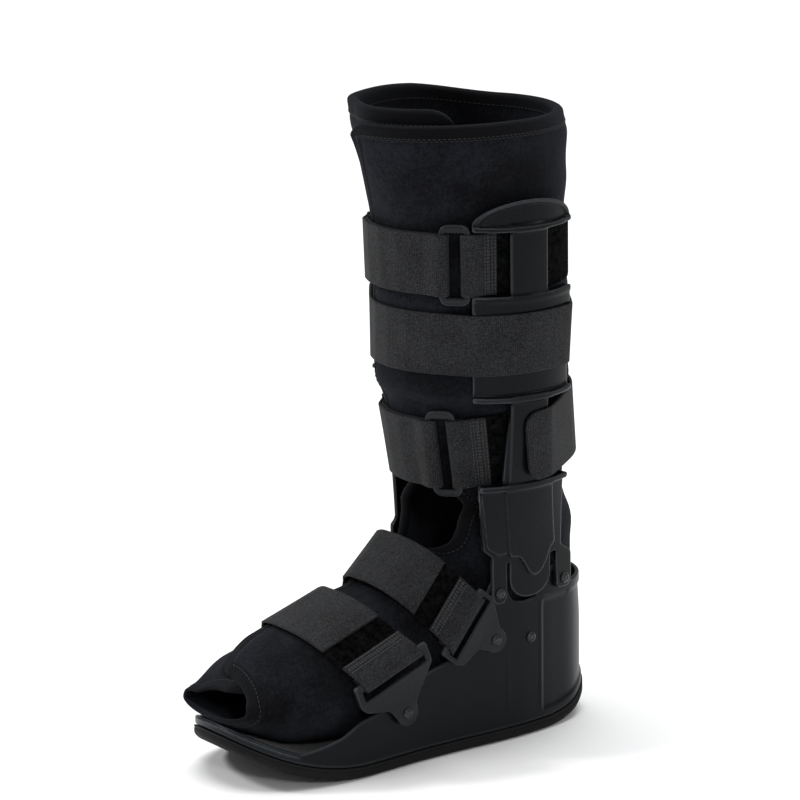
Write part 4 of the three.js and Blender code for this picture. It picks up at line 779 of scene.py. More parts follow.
def make_liner():
    # Angles run from the inner flap's edge, round the back, to the outer flap's edge.
    rows = between_sections(liner_sections())
    per_mm = np.degrees(1 / (0.5 * (rows[:, 6] + rows[:, 7])))[:, None]
    first, last = rows[:, 10:11] - EDGE_STEPS * per_mm, rows[:, 11:12] + EDGE_STEPS[::-1] * per_mm
    share = np.linspace(0, 1, 128)[None, 1:-1]
    degrees = np.concatenate([first, first[:, -1:] * (1 - share) + last[:, :1] * share, last], 1)

    # The inner flap is tucked under the outer one, which starts later round the leg at the top.
    late = smoothstep(rows[:, 2:3], 0.8 * LINER_TOP, 0.97 * LINER_TOP)
    tucked = FLAP_STEP * smoothstep(degrees, -82 + 34 * late, -38 + 18 * late)
    middle = section_points(rows, degrees, tucked + LINER_WALL / 2)

    def arc(points, axis):
        steps = np.linalg.norm(np.diff(points, axis=axis), axis=-1)
        pad = [(0, 0), (0, 0)]
        pad[axis] = (1, 0)
        return np.pad(np.cumsum(steps, axis=axis), pad)

    # The wall rounds off at its edges and thins at the toes, and the binding stands out from it.
    across, along = arc(middle, 1), arc(middle, 0)
    to_side = np.minimum(across, across[:, -1:] - across)
    to_top, to_toe = along, along[-1:] - along
    to_edge = np.minimum(to_side, np.minimum(to_top, to_toe))
    thin = smoothstep(-rows[:, 1:2], 135, 185)
    full = LINER_WALL / 2 * (1 - 0.45 * thin)
    tucked = tucked * (1 - 0.1 * thin)
    round_off = np.sqrt(1 - (1 - np.clip(to_edge / full, 0, 1)) ** 2)
    binding = 1 - smoothstep(to_edge, BINDING - 0.6, BINDING + 0.1)
    groove = np.exp(-(((to_edge - BINDING - 0.3) / 0.7) ** 2))
    swell = padding_swell(middle, degrees) * smoothstep(to_edge, 2, 16) + 0.5 * binding - 0.5 * groove
    outer = section_points(rows, degrees, tucked + LINER_WALL / 2 - (full + swell) * round_off)
    inner = section_points(rows, degrees, tucked + LINER_WALL / 2 + (full + 0.4 * binding) * round_off)

    # The top edge rises along the inner flap and dips at its corners. Towards the toes both flaps
    # sink and are drawn back along the foot, the outer side further than the inner.
    near_top = np.clip(1 - to_top / 46, 0, 1)
    corner = 1 - np.clip(to_side / 17, 0, 1)
    drop = 13 * (1 - np.sqrt(1 - corner**2)) * np.clip(1 - to_top / 30, 0, 1)
    rise = 9 * smoothstep(degrees, -150, -70) * near_top - drop
    pull = 17 * smoothstep(-degrees, 285, 372) + 14 * smoothstep(degrees, -55, 12)
    pull = pull * smoothstep(-to_toe, -46, 4)
    near_toe = smoothstep(-to_toe - pull, -46, 4)
    back = np.empty_like(middle)
    for column in range(degrees.shape[1]):
        for k in range(3):
            back[:, column, k] = np.interp((along - pull)[:, column], along[:, column], middle[:, column, k])
    for layer in (outer, inner):
        layer += back - middle
        aside = layer[..., 0] / rows[:, 6:7]
        above = smoothstep((layer[..., 2] - rows[:, 2:3]) / rows[:, 7:8], -1, 1)
        layer[..., 2] += rise - 14 * near_toe * above
        recede = 8 * np.clip(aside, 0, 1) ** 2 - 1.5 * np.clip(-aside, 0, 1) ** 2
        layer[..., 1] += near_toe * (recede + 5 * above)

    size = rows.shape[0] * degrees.shape[1]
    faces = grid_faces(rows.shape[0], degrees.shape[1])
    faces = np.concatenate([faces, faces[:, ::-1] + size])
    liner = mesh_piece("liner_fleece", np.concatenate([outer.reshape(-1, 3), inner.reshape(-1, 3)]), faces)
    mark = liner.data.attributes.new("binding", "FLOAT", "POINT")
    mark.data.foreach_set("value", np.tile(binding.ravel(), 2).astype(np.float32))
    mended(liner.data, weld=1e-5)

    sheen = {"Sheen_Weight": 0.05, "Sheen_Roughness": 0.5, "Sheen_Tint": (0.62, 0.68, 0.85, 1)}
    look = Look("liner_fleece", Roughness=0.95, Specular_IOR_Level=0.1, **sheen)
    tape = look.add("ShaderNodeAttribute", attribute_name="binding").outputs["Fac"]
    nap, lint, shade = look.noise(950, 5, 0.75), look.noise(340, 6, 0.8), look.noise(26, 4, 0.6)
    mixed = look.combined("MULTIPLY", look.combined("MULTIPLY", lint, nap), shade)
    dark, light = [c * 0.1 for c in LINER_COLOUR], [c * 2.8 for c in LINER_COLOUR]
    cloth = look.ramp(mixed, dark, light, 0.085, 0.185)
    look.coloured(look.blend(tape, cloth, (0.0018, 0.0019, 0.0023)))
    layers = [(shade, 0.35, 0.002), (lint, 0.8, 0.001), (look.cells(780, 0.7), 0.3, 0.0003)]
    liner.data.materials.append(look.bumps(*layers, (nap, 0.9, 0.0006)))
    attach(liner, "root")
    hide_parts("liner")

    # Seams run along all four edges, doubled at the top and once more inside it.
    away = (to_top[:, 60], across[40], to_toe[:, 60])
    top, side, toe = (int(np.argmin(np.abs(d - SEAM_FROM_EDGE))) for d in away)
    lines = [outer[top, side:-side], outer[toe, side:-side], outer[top + 2, side + 1 : -side - 1]]
    lines += [outer[top : toe + 1, column] for column in (side, degrees.shape[1] - 1 - side)]
    return lines + [inner[top, side:-side]]


liner_seams = make_liner()

# Thread: bonded polyester, sewn in rows of short stitches that sit in the surface. It is black on
# the liner's binding here, and grey on the sewn ends of the straps further on.
STITCH_PITCH, STITCH_LENGTH, STITCH_THICK = 3.0, 2.2, 0.55


def stitch_tree():
    sizes = [(label, "Float") for label in ("Pitch", "Length", "Thickness")]
    tree, keys, new, link, source, turn, spread = growing_tree("stitch_row", *sizes)
    line, spaced = new("GeometryNodeMeshToCurve"), new("GeometryNodeResampleCurve")
    spaced.mode = "LENGTH"
    tangent, bead = new("GeometryNodeInputTangent"), new("GeometryNodeMeshIcoSphere")
    bead.inputs["Radius"].default_value, bead.inputs["Subdivisions"].default_value = 0.5, 2
    size = new("ShaderNodeCombineXYZ")
    link(source["Geometry"], line.inputs["Mesh"])
    link(line.outputs["Curve"], spaced.inputs["Curve"])
    link(source["Pitch"], spaced.inputs["Length"])
    link(spaced.outputs["Curve"], spread.inputs["Points"])
    link(tangent.outputs["Tangent"], turn.inputs["Vector"])
    for axis, label in (("X", "Thickness"), ("Y", "Thickness"), ("Z", "Length")):
        link(source[label], size.inputs[axis])
    link(size.outputs["Vector"], spread.inputs["Scale"])
    link(bead.outputs["Mesh"], spread.inputs["Instance"])
    return tree, keys


STITCHES, STITCH_INPUTS = stitch_tree()


def thread_material(name, dark, light):
    look = Look(name, Roughness=0.6)
    twist = look.noise(1800, 2)
    look.coloured(look.ramp(twist, dark, light))
    return look.bumps((twist, 0.5, 0.0002))


BLACK_THREAD = thread_material("thread_black", (0.0008, 0.0008, 0.001), (0.0022, 0.0023, 0.0028))


def sew(name, lines, slot, finish, pitch=STITCH_PITCH, length=STITCH_LENGTH, thick=STITCH_THICK):
    """Stitches along lines of points, as one piece."""
    points = np.concatenate(lines)
    edges, start = [], 0
    for line in lines:
        edges += [(start + k, start + k + 1) for k in range(len(line) - 1)]
        start += len(line)
    rows = mesh_piece(name, points, [])
    rows.data.clear_geometry()
    rows.data.from_pydata((points * MM).tolist(), edges, [])
    sizes = {"Pitch": pitch * MM, "Length": length * MM, "Thickness": thick * MM}
    grow(rows, STITCHES, {STITCH_INPUTS[key]: v for key, v in {**sizes, "Finish": finish}.items()})
    rows.data.polygons.foreach_set("use_smooth", [True] * len(rows.data.polygons))
    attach(rows, "root")
    return rows


sew("liner_binding_stitches", liner_seams, "liner_felt", BLACK_THREAD)

# Leg straps: nylon webbing pulled tight round the liner. Two run under the struts as a fuzzy pile
# strap that holds a plastic ring, and the webbing turns through the ring and doubles back on itself.
STRAP_COLOUR = (0.0125, 0.013, 0.0145)
WEBBING, ANKLE_WEBBING, WEBBING_THICK, STRAP_GAP = 38.0, 44.0, 1.8, 0.5
LAYER, ON_LINER, FOLD = WEBBING_THICK + GAP, STRAP_GAP + WEBBING_THICK / 2, GAP + WEBBING_THICK / 2
RING_THICK, RING_BAR, RING_SLOT, RING_END = 3.0, 4.2, 11.0, 6.0
RING_HALF, RING_CLEAR = RING_SLOT / 2 + RING_BAR, 18
PILE_END, WEBBING_OUT_END, WEBBING_IN_END = 213, -136, -158
MIDDLE_START, MIDDLE_END, ANKLE_END_FROM, ANKLE_END_TO = -200, 190, 186, -10


def webbing_material():
    """Tight plain-woven nylon: warp ribs along the strap, weft across, paler on the crowns."""
    look = Look("webbing_charcoal", Roughness=0.78, Specular_IOR_Level=0.2, Sheen_Weight=0.03)
    along = look.add("ShaderNodeUVMap", uv_map="weave").outputs["UV"]

    def ribs(scale, distortion, axis):
        inputs = {"Vector": along, "Scale": scale, "Distortion": distortion, "Detail": 1}
        return look.add("ShaderNodeTexWave", inputs, bands_direction=axis).outputs["Fac"]

    cross = look.combined("MULTIPLY", ribs(262, 1.2, "X"), ribs(330, 0.8, "Y"))
    slub, cloud = look.noise(880, 4, 0.8), look.noise(45, 4)
    woven = look.combined("MULTIPLY_ADD", cross, 0.12, look.combined("MULTIPLY", slub, 0.8))
    tone = look.combined("MULTIPLY_ADD", cloud, 0.12, woven)
    dark, light = [c * 0.05 for c in STRAP_COLOUR], [c * 2.2 for c in STRAP_COLOUR]
    look.coloured(look.ramp(tone, dark, light, 0.42, 0.6))
    return look.bumps((cross, 0.55, 0.00035), (slub, 0.5, 0.0003))


def pile_material():
    """Unbroken loop pile of a touch fastener: matt black tufts with paler tips."""
    look = Look("loop_pile_black", Roughness=0.98, Specular_IOR_Level=0.02)
    tufts, fuzz, patch = look.cells(640), look.noise(1100, 5, 0.8), look.noise(210, 4, 0.7)
    mixed = look.combined("MULTIPLY", fuzz, patch)
    look.coloured(look.ramp(mixed, (0.0006, 0.0006, 0.0007), (0.011, 0.0112, 0.012), 0.18, 0.42))
    return look.bumps((tufts, 0.9, 0.0008), (patch, 0.7, 0.0009), (fuzz, 0.9, 0.0005))


WEBBING_CLOTH, LOOP_PILE = webbing_material(), pile_material()
GREY_THREAD = thread_material("thread_grey", (0.012, 0.0125, 0.014), (0.034, 0.035, 0.038))
TAB_STITCH = 2.0, 1.75, 0.75


def strap_frame(tilt, y, z, width_tilt=None):
    """A strap's middle and axes: outward to the side, backward round the leg, and across its width."""
    turn = math.radians(tilt)
    width = math.radians(tilt + 90 if width_tilt is None else width_tilt)
    along, across = (0, math.cos(turn), math.sin(turn)), (0, math.cos(width), math.sin(width))
    return np.array([0.0, y, z]), np.array([(1, 0, 0), along, across], float).T


def node_corners(name):
    """A CAD piece's triangles in millimetres."""
    mesh = nodes[name].data
    mesh.calc_loop_triangles()
    co = np.array([v.co for v in mesh.vertices]) * 1000
    return co[np.array([t.vertices[:] for t in mesh.loop_triangles])]


def points_under(place, corners, low, high):
    """Flat points of what lies between two heights of a strap's width, in the strap's frame."""
    origin, axes = place
    local = (corners - origin) @ np.linalg.inv(axes).T
    flat = local.reshape(-1, 3)
    found = [flat[(flat[:, 2] >= low) & (flat[:, 2] <= high)]]
    for level in (low, high):
        for i, j in ((0, 1), (1, 2), (2, 0)):
            a, b = local[:, i], local[:, j]
            cut = (a[:, 2] - level) * (b[:, 2] - level) < 0
            share = (level - a[cut, 2]) / (b[cut, 2] - a[cut, 2])
            found.append(a[cut] + (b[cut] - a[cut]) * share[:, None])
    return np.concatenate(found)[:, :2]


def halves_under(place, names, width):
    """Flat points of the pieces under each half of a strap's width."""
    corners = np.concatenate([node_corners(n) for n in names])
    half = width / 2
    return [points_under(place, corners, -half - 2, 0), points_under(place, corners, 0, half + 2)]


def reach_of(points, angle):
    return float(np.max(points @ (math.cos(math.radians(angle)), math.sin(math.radians(angle)))))


def reach_table(supports):
    """How far the supports reach, each with the strap's distance from it, at every half degree."""
    angles = np.radians(np.arange(720) * 0.5)
    facing = np.stack([np.cos(angles), np.sin(angles)])
    return np.max([np.max(np.asarray(points) @ facing, axis=0) + away for points, away in supports], axis=0)


def tight_run(supports, start, end, lift=None, step=1.5):
    """The line of a strap pulled tight round its supports, between two angles."""
    table = np.append(reach_table(supports), 0)
    table[-1] = table[0]
    turns = np.arange(-60, 60.1, 2.5)
    line = []
    for angle in np.linspace(start, end, max(3, int(abs(end - start) / step) + 1)):
        reach = np.interp(((angle + turns) % 360) * 2, np.arange(721), table)
        radius = np.min((reach + (lift(angle) if lift else 0)) / np.cos(np.radians(turns)))
        line.append((radius * math.cos(math.radians(angle)), radius * math.sin(math.radians(angle))))
    return line


def ring_turn(points, angle, side):
    """The line of a strap over one bar of its ring and down through the slot."""
    ca, sa = math.cos(math.radians(angle)), math.sin(math.radians(angle))
    reach = reach_of(points, angle)
    low, high = ON_LINER, STRAP_GAP + LAYER + RING_THICK + FOLD
    slot = RING_HALF - RING_BAR - FOLD
    line = [(RING_HALF + 2.6, high - 1.2), (RING_HALF + 0.3, high), (slot + FOLD + 0.5, high)]
    line += [(slot + 0.3, high - 0.5), (slot, high - 1.4), (slot, low + 1.4), (slot + 0.3, low + 0.5)]
    line += [(slot + FOLD + 0.5, low), (RING_HALF + 2, low)]
    return [((reach + o) * ca - side * t * sa, (reach + o) * sa + side * t * ca) for t, o in line]


def lay_strap(name, place, width, lines, parts, node, corner=None):
    """A strap along two lines, one at each edge of its width, as a closed band with rounded edges.
    parts gives each material and the length where it ends, corner the radius of its last end's
    corners. Returns what the stitches are laid on."""
    origin, axes = place
    raw = np.array([[(a, b, c) for a, b in line] for line, c in zip(lines, (-width / 2, width / 2))])
    middle = raw.mean(0)[:, :2]
    length = np.concatenate([[0], np.cumsum(np.linalg.norm(np.diff(middle, axis=0), axis=1))])
    count = int(length[-1] / 1.0) + 2
    at = np.linspace(0, length[-1], count)
    edges = np.array([np.stack([np.interp(at, length, edge[:, k]) for k in range(3)], -1) for edge in raw])
    edges = np.array([blur(edge, 0.95) for edge in edges])
    low, high = (edge @ axes.T + origin for edge in edges)
    across = (high - low) / np.linalg.norm(high - low, axis=1)[:, None]
    tangent = np.gradient((low + high) / 2, axis=0)
    normal = np.cross(tangent, across)
    normal /= np.linalg.norm(normal, axis=1)[:, None]
    half, radius = width / 2, WEBBING_THICK / 2
    # One face and edge of the band's section, and the same turned half round.
    face = [(s * (half - 0.7), radius) for s in np.linspace(-1, 1, 15)]
    side = [(half - 0.3, radius * 0.85), (half, radius * 0.3)]
    side += [(w, -h) for w, h in side[::-1]]
    profile = np.array(face + side)
    profile = np.concatenate([profile, -profile])
    w, h = profile[:, 0], profile[:, 1]
    share = (w + half) / width
    base = low[:, None] * (1 - share)[None, :, None] + high[:, None] * share[None, :, None]
    points = base + normal[:, None] * h[None, :, None]
    along = np.repeat(at[:, None], len(profile), 1)
    if corner:
        reach = np.clip(1 - (at[-1] - at) / corner, 0, 1)
        pull = (corner / half) * (1 - np.sqrt(1 - reach**2))
        points = points - pull[:, None, None] * (w[None, :, None] * across[:, None])
    faces = grid_faces(count, len(profile), wrap=True)
    n = len(profile)
    ends = [list(range(n))[::-1], [(count - 1) * n + k for k in range(n)]]
    uv = np.stack([along.ravel(), np.tile(w, count)], -1)
    strap = mesh_piece(name, points.reshape(-1, 3), [*faces.tolist(), *ends], uv)
    for material, _ in parts:
        strap.data.materials.append(material)
    limits = [limit for _, limit in parts[:-1]]
    where = at[np.minimum(faces[:, 0] // n, count - 1)]
    index = np.searchsorted(limits, where) if limits else np.zeros(len(faces), int)
    strap.data.polygons.foreach_set("material_index", [*index.tolist(), 0, len(parts) - 1])
    mended(strap.data)
    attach(strap, "root")
    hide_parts(node)
    return {"at": at, "low": low, "high": high, "normal": normal, "origin": origin}


def across_rows(strap, places, inset=2.2):
    """Stitch rows across a strap at lengths from its first end, on its outer side."""
    rows = []
    for place in places:
        k = int(np.argmin(np.abs(strap["at"] - place)))
        low, high, out = strap["low"][k], strap["high"][k], strap["normal"][k]
        if out @ ((low + high) / 2 - strap["origin"]) < 0:
            out = -out
        step = (high - low) / np.linalg.norm(high - low)
        ends = np.array([low + step * inset, high - step * inset])
        rows.append(ends + out * (WEBBING_THICK / 2 + 0.05))
    return rows


def plate(name, outline, hole, thick, axes, origin, edge):
    """A flat moulded plate with rounded edges and a slot, laid in place by its axes."""
    curve = bpy.data.curves.new(name, "CURVE")
    curve.dimensions, curve.fill_mode = "2D", "BOTH"
    for loop, turn in ((outline, 1), (hole, -1)):
        loop = np.asarray(loop, float)
        area = np.sum(loop[:, 0] * np.roll(loop[:, 1], -1) - np.roll(loop[:, 0], -1) * loop[:, 1])
        loop = loop if area * turn > 0 else loop[::-1]
        spline = curve.splines.new("POLY")
        spline.points.add(len(loop) - 1)
        spline.use_cyclic_u = True
        for point, (a, b) in zip(spline.points, loop):
            point.co = (a * MM, b * MM, 0, 1)
    curve.extrude, curve.bevel_depth = (thick / 2 - edge) * MM, edge * MM
    curve.bevel_resolution, curve.offset = 3, -edge * MM
    form = in_scene(name, curve)
    mesh = evaluated_mesh(form)
    bpy.data.objects.remove(form)
    turn = Matrix([[axes[r][k] for k in range(3)] + [origin[r] * MM] for r in range(3)] + [[0, 0, 0, 1]])
    lift = Matrix.Translation((0, 0, thick / 2 * MM))
    mesh.transform(turn @ lift)
    mended(mesh, weld=1e-6)
    mesh.set_sharp_from_angle(angle=math.radians(40))
    return in_scene(name, mesh)


RING_PLASTIC = moulded_plastic("ring_nylon", (0.0055, 0.0062, 0.007), 0.3, 0.6)


def box(half, low, high):
    return [(-half, low), (half, low), (half, high), (-half, high)]


def make_ring(name, place, halves, angle, width, node):
    """A slide ring laid flat on the straps at an angle round the leg."""
    origin, axes = place
    ca, sa = math.cos(math.radians(angle)), math.sin(math.radians(angle))
    ends = []
    for points, c in zip(halves, (-width / 2, width / 2)):
        reach = reach_of(points, angle) + STRAP_GAP + LAYER
        ends.append(axes @ np.array([reach * ca, reach * sa, c]) + origin)
    up = (ends[1] - ends[0]) / np.linalg.norm(ends[1] - ends[0])
    across = axes @ np.array([-sa, ca, 0])
    out = np.cross(across, up)
    out /= np.linalg.norm(out)
    tall = width / 2 + RING_END
    outline = rounded(box(RING_HALF, -tall, tall), 7.0, 10)
    tall -= RING_END - 0.8
    slot = rounded(box(RING_SLOT / 2, -tall, tall), 1.2, 4)
    turn, middle = np.stack([across, up, out], -1), (ends[0] + ends[1]) / 2
    ring = plate(name, outline, slot, RING_THICK, turn, middle, 1.0)
    ring.data.materials.append(RING_PLASTIC)
    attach(ring, "root")
    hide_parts(node)


def make_leg_strap(name, place, width, angle, tab_reach, rows):
    """A pile strap and a webbing strap that both turn round a ring at angle, with their stitches.
    tab_reach is how far round the leg the pile strap's sewn end comes back from the ring."""
    halves = halves_under(place, ["liner"], width)
    clear = math.degrees(RING_CLEAR / reach_of(halves[0], angle))
    pile_start = angle + clear
    top_away, low_away = ON_LINER + LAYER, ON_LINER
    pile = [
        tight_run([(p, top_away)], angle + tab_reach, pile_start + 0.5)
        + ring_turn(p, angle, 1)
        + tight_run([(p, low_away)], pile_start + 0.5, PILE_END)
        for p in halves
    ]
    from_edge = 360 - PILE_END

    def over_pile(a):
        return (LAYER + 0.2) * float(smoothstep(-a, from_edge - 20, from_edge - 8))

    webbing = [
        tight_run([(p, top_away)], WEBBING_OUT_END, angle - clear, over_pile)
        + ring_turn(p, angle, -1)
        + tight_run([(p, low_away)], angle - clear, WEBBING_IN_END, over_pile)
        for p in halves
    ]
    folded = reach_of(halves[0], angle) * math.radians(tab_reach) + 12
    parts = [(WEBBING_CLOTH, folded), (LOOP_PILE, None)]
    tab = lay_strap(f"{name}_pile_band", place, width, pile, parts, f"{name}_pile_strap")
    slot, node = "grey_webbing", f"{name}_strap"
    lay_strap(f"{name}_webbing", place, width, webbing, [(WEBBING_CLOTH, None)], node)
    make_ring(f"{name}_strap_ring", place, halves, angle, width, f"{name}_ring")
    sew(f"{name}_tab_stitches", across_rows(tab, rows), slot, GREY_THREAD, *TAB_STITCH)


UPPER, MIDDLE, ANKLE = strap_frame(0, 2, 305.5), strap_frame(0, 2, 256), strap_frame(6, 7, 191)
TAB_ROWS = (1.2, 2.9, 4.6, 6.3, 8.0, 9.7)
make_leg_strap("upper", UPPER, WEBBING, -44.5, 23, TAB_ROWS[:5])
make_leg_strap("ankle", ANKLE, ANKLE_WEBBING, -57, 27, TAB_ROWS)


def make_wrap_straps():
    """The middle strap, once round the leg over both struts, and the free end of the ankle strap."""
    uprights = ["liner", "strut_outer", "strut_inner"]
    halves = halves_under(MIDDLE, uprights, WEBBING)

    def over_start(a):
        return LAYER * float(smoothstep(a, MIDDLE_START + 335, MIDDLE_START + 352))

    cloth, slot = [(WEBBING_CLOTH, None)], "grey_webbing"
    away = ON_LINER + 0.2
    lines = [tight_run([(p, away)], MIDDLE_START, MIDDLE_END, over_start) for p in halves]
    lay_strap("middle_webbing", MIDDLE, WEBBING, lines, cloth, "middle_strap")
    halves = halves_under(ANKLE, [*uprights, "ankle_pile_strap"], ANKLE_WEBBING)
    lines = [tight_run([(p, away)], ANKLE_END_FROM, ANKLE_END_TO) for p in halves]
    lay_strap("ankle_webbing_end", ANKLE, ANKLE_WEBBING, lines, cloth, "ankle_strap_end", corner=9.0)


make_wrap_straps()

# Foot straps: webbing over the forefoot and the instep. Each holds at the inner side on a pivoting
# plastic loop, and at the outer side it fastens to a short pile tab that rolls round the loop's bar.
TOE_WEBBING, INSTEP_WEBBING = 45.0, 38.0
LOOP_THICK, LOOP_BAR, LOOP_SLOT, LOOP_BOSS = 3.0, 5.0, 6.5, 8.0
FOOT_TAB_END, FOOT_TAB_ROWS, STRAP_FRAME_DEPTH = 92, (0.9, 2.5, 4.1, 5.7), 24.0


def loop_outline(half, along, drop, width):
    """The outline and slot of a foot loop, with a round boss for its rivet below the bar."""
    top, slot_foot = LOOP_BAR / 2, -LOOP_BAR / 2 - LOOP_SLOT
    boss, turns = LOOP_BOSS, np.linspace(0, -math.pi, 17)
    shape = [(-half, top), (half, top), (half, slot_foot - 2), (half - 3, slot_foot - 5)]
    shape.append((along + boss + 1, -drop + 4))
    shape += [(along + boss * math.cos(a), -drop + boss * math.sin(a)) for a in turns]
    shape += [(along - boss - 3, -drop + 8), (-half + 3, slot_foot - 8), (-half, slot_foot - 3)]
    return rounded(shape, 2.2, 5), rounded(box(width / 2 + 1.6, slot_foot, -top), 1.0, 4)


def bar_turn(middle, bar_half, side):
    """The line of a strap down over a loop's bar and up behind it."""
    out, below = LOOP_THICK / 2 + FOLD, bar_half + FOLD
    line = [(out + 0.2, 2), (out + 0.1, -below + 1.2), (out - 0.6, -below + 0.3), (out - 1.5, -below)]
    line += [(1.5 - out, -below), (0.6 - out, -below + 0.3), (-out, -below + 1.2), (-out, 2)]
    return [(side * (middle[0] + away), middle[1] + up) for away, up in line]


def make_foot_strap(name, loop, rivet, tilt, run, half, along, drop, width, stitched, cut_end):
    """A foot strap with its pile tab, stitches and two loops. tilt is the loops' angle and run the
    strap's. half is a loop's half length, along and drop its bar's place from the rivet, stitched the
    tab's sewn length and cut_end the webbing's inner end, as angles round the foot."""
    turn, lean, depth = math.radians(tilt), math.radians(run), STRAP_FRAME_DEPTH
    along_bar = np.array([0, math.cos(turn), math.sin(turn)])
    up_foot = np.array([0, -math.sin(turn), math.cos(turn)])
    bar = np.array([0, rivet[0], rivet[1]]) - along * along_bar + drop * up_foot
    face = loop_face(rivet[0])
    place = strap_frame(90 + run, bar[1] + depth * math.sin(lean), bar[2] - depth * math.cos(lean), tilt)
    halves = halves_under(place, ["liner"], width)
    middle = (face + LOOP_THICK / 2, depth)
    bar_half = LOOP_BAR / 2 / math.cos(turn - lean)
    bar_angle = math.degrees(math.atan2(depth + bar_half + 1, middle[0]))
    rim = middle[0] + LOOP_THICK / 2
    corners = [(s * rim, depth + u) for s in (1, -1) for u in (bar_half, -bar_half)]
    inward = middle[0] - LOOP_THICK / 2 - FOLD
    inside = [(inward, depth + 1), (-inward, depth + 1)]

    def outer(p):
        return [(p, ON_LINER + LAYER + 0.35), (corners, FOLD + 0.45)]

    def inner(p):
        return [(p, ON_LINER + 0.2), (inside, 0)]

    def on_tab(a):
        return (LAYER + 0.3) * (1 - float(smoothstep(a, FOOT_TAB_END + 8, FOOT_TAB_END + 22)))

    tab = [
        tight_run(outer(p), bar_angle + stitched, bar_angle + 1)
        + bar_turn(middle, bar_half, 1)
        + tight_run(inner(p), bar_angle + 2, FOOT_TAB_END)
        for p in halves
    ]
    webbing = [
        tight_run(inner(p), cut_end, 178 - bar_angle, on_tab)
        + bar_turn(middle, bar_half, -1)[::-1]
        + tight_run(outer(p), 179 - bar_angle, 180 - bar_angle - stitched)
        for p in halves
    ]
    rolled = np.array(tab[0])[: int(stitched / 1.5) + 8]
    roll = float(np.linalg.norm(np.diff(rolled, axis=0), axis=1).sum())
    parts = [(WEBBING_CLOTH, roll + 8), (LOOP_PILE, None)]
    sewn = lay_strap(f"{name}_tab_band", place, width, tab, parts, f"{name}_pile_tab")
    slot, node = "grey_webbing", f"{name}_strap"
    lay_strap(f"{name}_webbing", place, width, webbing, [(WEBBING_CLOTH, None)], node)
    sew(f"{name}_tab_stitches", across_rows(sewn, FOOT_TAB_ROWS), slot, GREY_THREAD, *TAB_STITCH)
    outline, hole = loop_outline(half, along, drop, width)
    for side, word in ((1, "outer"), (-1, "inner")):
        axes = np.stack([along_bar, up_foot, (side, 0, 0)], -1)
        seat = (side * face, bar[1], bar[2])
        loop_piece = plate(f"{name}_loop_{word}", outline, hole, LOOP_THICK, axes, seat, 0.9)
        loop_piece.data.materials.append(RING_PLASTIC)
        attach(loop_piece, "root")
        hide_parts(f"foot_loop_{loop}_{word}")


make_foot_strap("toe", "front", FRONT_LOOP_RIVET, 21, 38, 28.5, 0, 32.5, TOE_WEBBING, 13, 54)
make_foot_strap("instep", "rear", REAR_LOOP_RIVET, 51, 37, 23.8, 3.4, 28.8, INSTEP_WEBBING, 13, 52)

# Camera at the photograph's view: slightly above, from the front outer side. A long lens at a
# distance keeps the far side of the boot nearly as large as the near side.
VIEW_AZIMUTH, VIEW_ELEVATION, VIEW_ROLL = 54.2, 13.9, -0.77
VIEW_DISTANCE, VIEW_TARGET, LENS = 2600.0, np.array([-71.8, 0.0, 193.0]), 184.2


def placed(place, right, up, back):
    """A world matrix at a place in metres, with the axes of a camera or lamp that looks along -back."""
    turn = Matrix([[right[k], up[k], back[k], 0] for k in range(3)] + [[0, 0, 0, 1]])
    return Matrix.Translation(place) @ turn


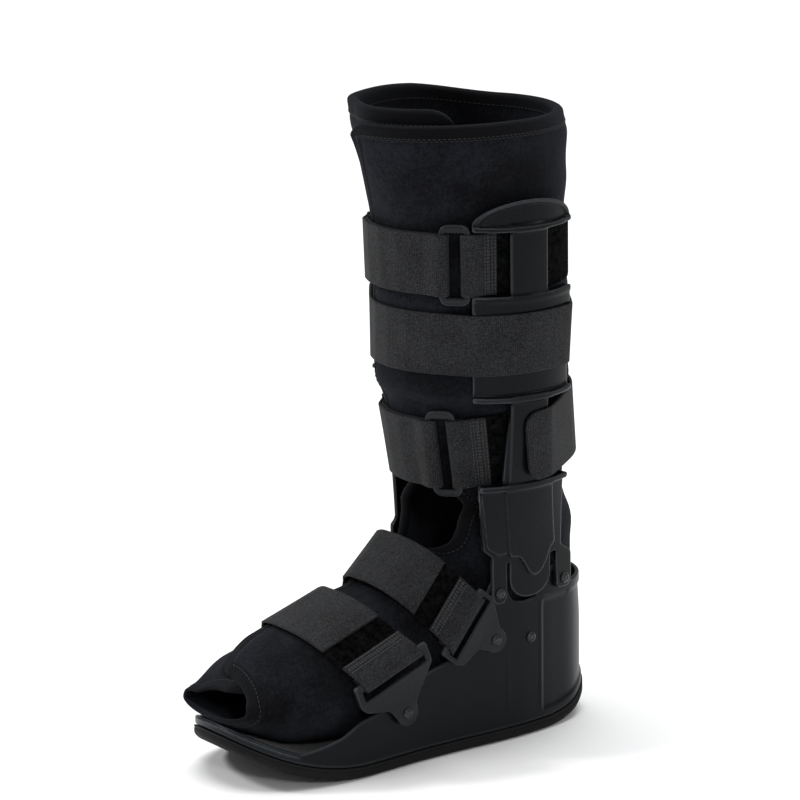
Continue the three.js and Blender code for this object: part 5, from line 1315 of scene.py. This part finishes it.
def make_camera():
    angles = np.radians([VIEW_AZIMUTH, VIEW_ELEVATION, VIEW_ROLL])
    (sa, se, sr), (ca, ce, cr) = np.sin(angles), np.cos(angles)
    back = np.array([sa * ce, -ca * ce, se])
    right = np.array([ca, sa, 0.0])
    up = np.cross(back, right)
    right, up = right * cr + up * sr, up * cr - right * sr
    data = bpy.data.cameras.new("photo_view")
    data.lens, data.sensor_width, data.clip_end = LENS, 36.0, 20.0
    camera = in_scene("photo_view", data)
    camera.matrix_world = placed((VIEW_TARGET + back * VIEW_DISTANCE) * MM, right, up, back)
    bpy.context.scene.camera = camera


make_camera()

# Floor and studio light: a plain white floor, and soft light from above with one lamp before the
# toes, one at the outer side and a small one behind the heel.
FLOOR_HALF, FLOOR_DROP = 14000.0, -0.2
SKY_STRENGTH, SUN_STRENGTH, SUN_SPREAD = 0.3, 2.85, 50
LAMPS = [("key", (-1.3, -1.6, 1.9), 0.5, 30), ("side", (2.2, -1.0, 1.3), 0.35, 13)]
LAMPS.append(("rear", (1.4, 1.6, 1.5), 0.5, 5))


def make_studio():
    e, z = FLOOR_HALF, FLOOR_DROP
    floor = mesh_piece("studio_floor", [(-e, -e, z), (e, -e, z), (e, e, z), (-e, e, z)], [(0, 1, 2, 3)])
    look = Look("studio_white", Roughness=0.95, Specular_IOR_Level=0.05)
    look.coloured(look.ramp(look.noise(3, 2), (0.86, 0.865, 0.87), (0.885, 0.885, 0.885)))
    floor.data.materials.append(look.material)
    world = bpy.data.worlds.new("soft_room")
    world.use_nodes = True
    sky = world.node_tree.nodes["Background"]
    sky.inputs["Color"].default_value = (1, 1, 1, 1)
    sky.inputs["Strength"].default_value = SKY_STRENGTH
    bpy.context.scene.world = world
    bpy.context.scene.view_settings.view_transform = "Standard"
    top = bpy.data.lights.new("overhead", "SUN")
    top.energy, top.angle = SUN_STRENGTH, math.radians(SUN_SPREAD)
    overhead = in_scene("overhead", top)
    aside, ahead = (Matrix.Rotation(math.radians(a), 4, axis) for a, axis in ((-10, "Y"), (-8, "X")))
    overhead.matrix_world = aside @ ahead
    for name, place, size, power in LAMPS:
        data = bpy.data.lights.new(name, "AREA")
        data.shape, data.size, data.energy = "DISK", size, power
        lamp = in_scene(name, data)
        aim = np.array([0, -0.05, 0.2]) - np.array(place)
        back = -aim / np.linalg.norm(aim)
        right = np.cross((0, 0, 1), back)
        right /= np.linalg.norm(right)
        lamp.matrix_world = placed(place, right, np.cross(back, right), back)


make_studio()
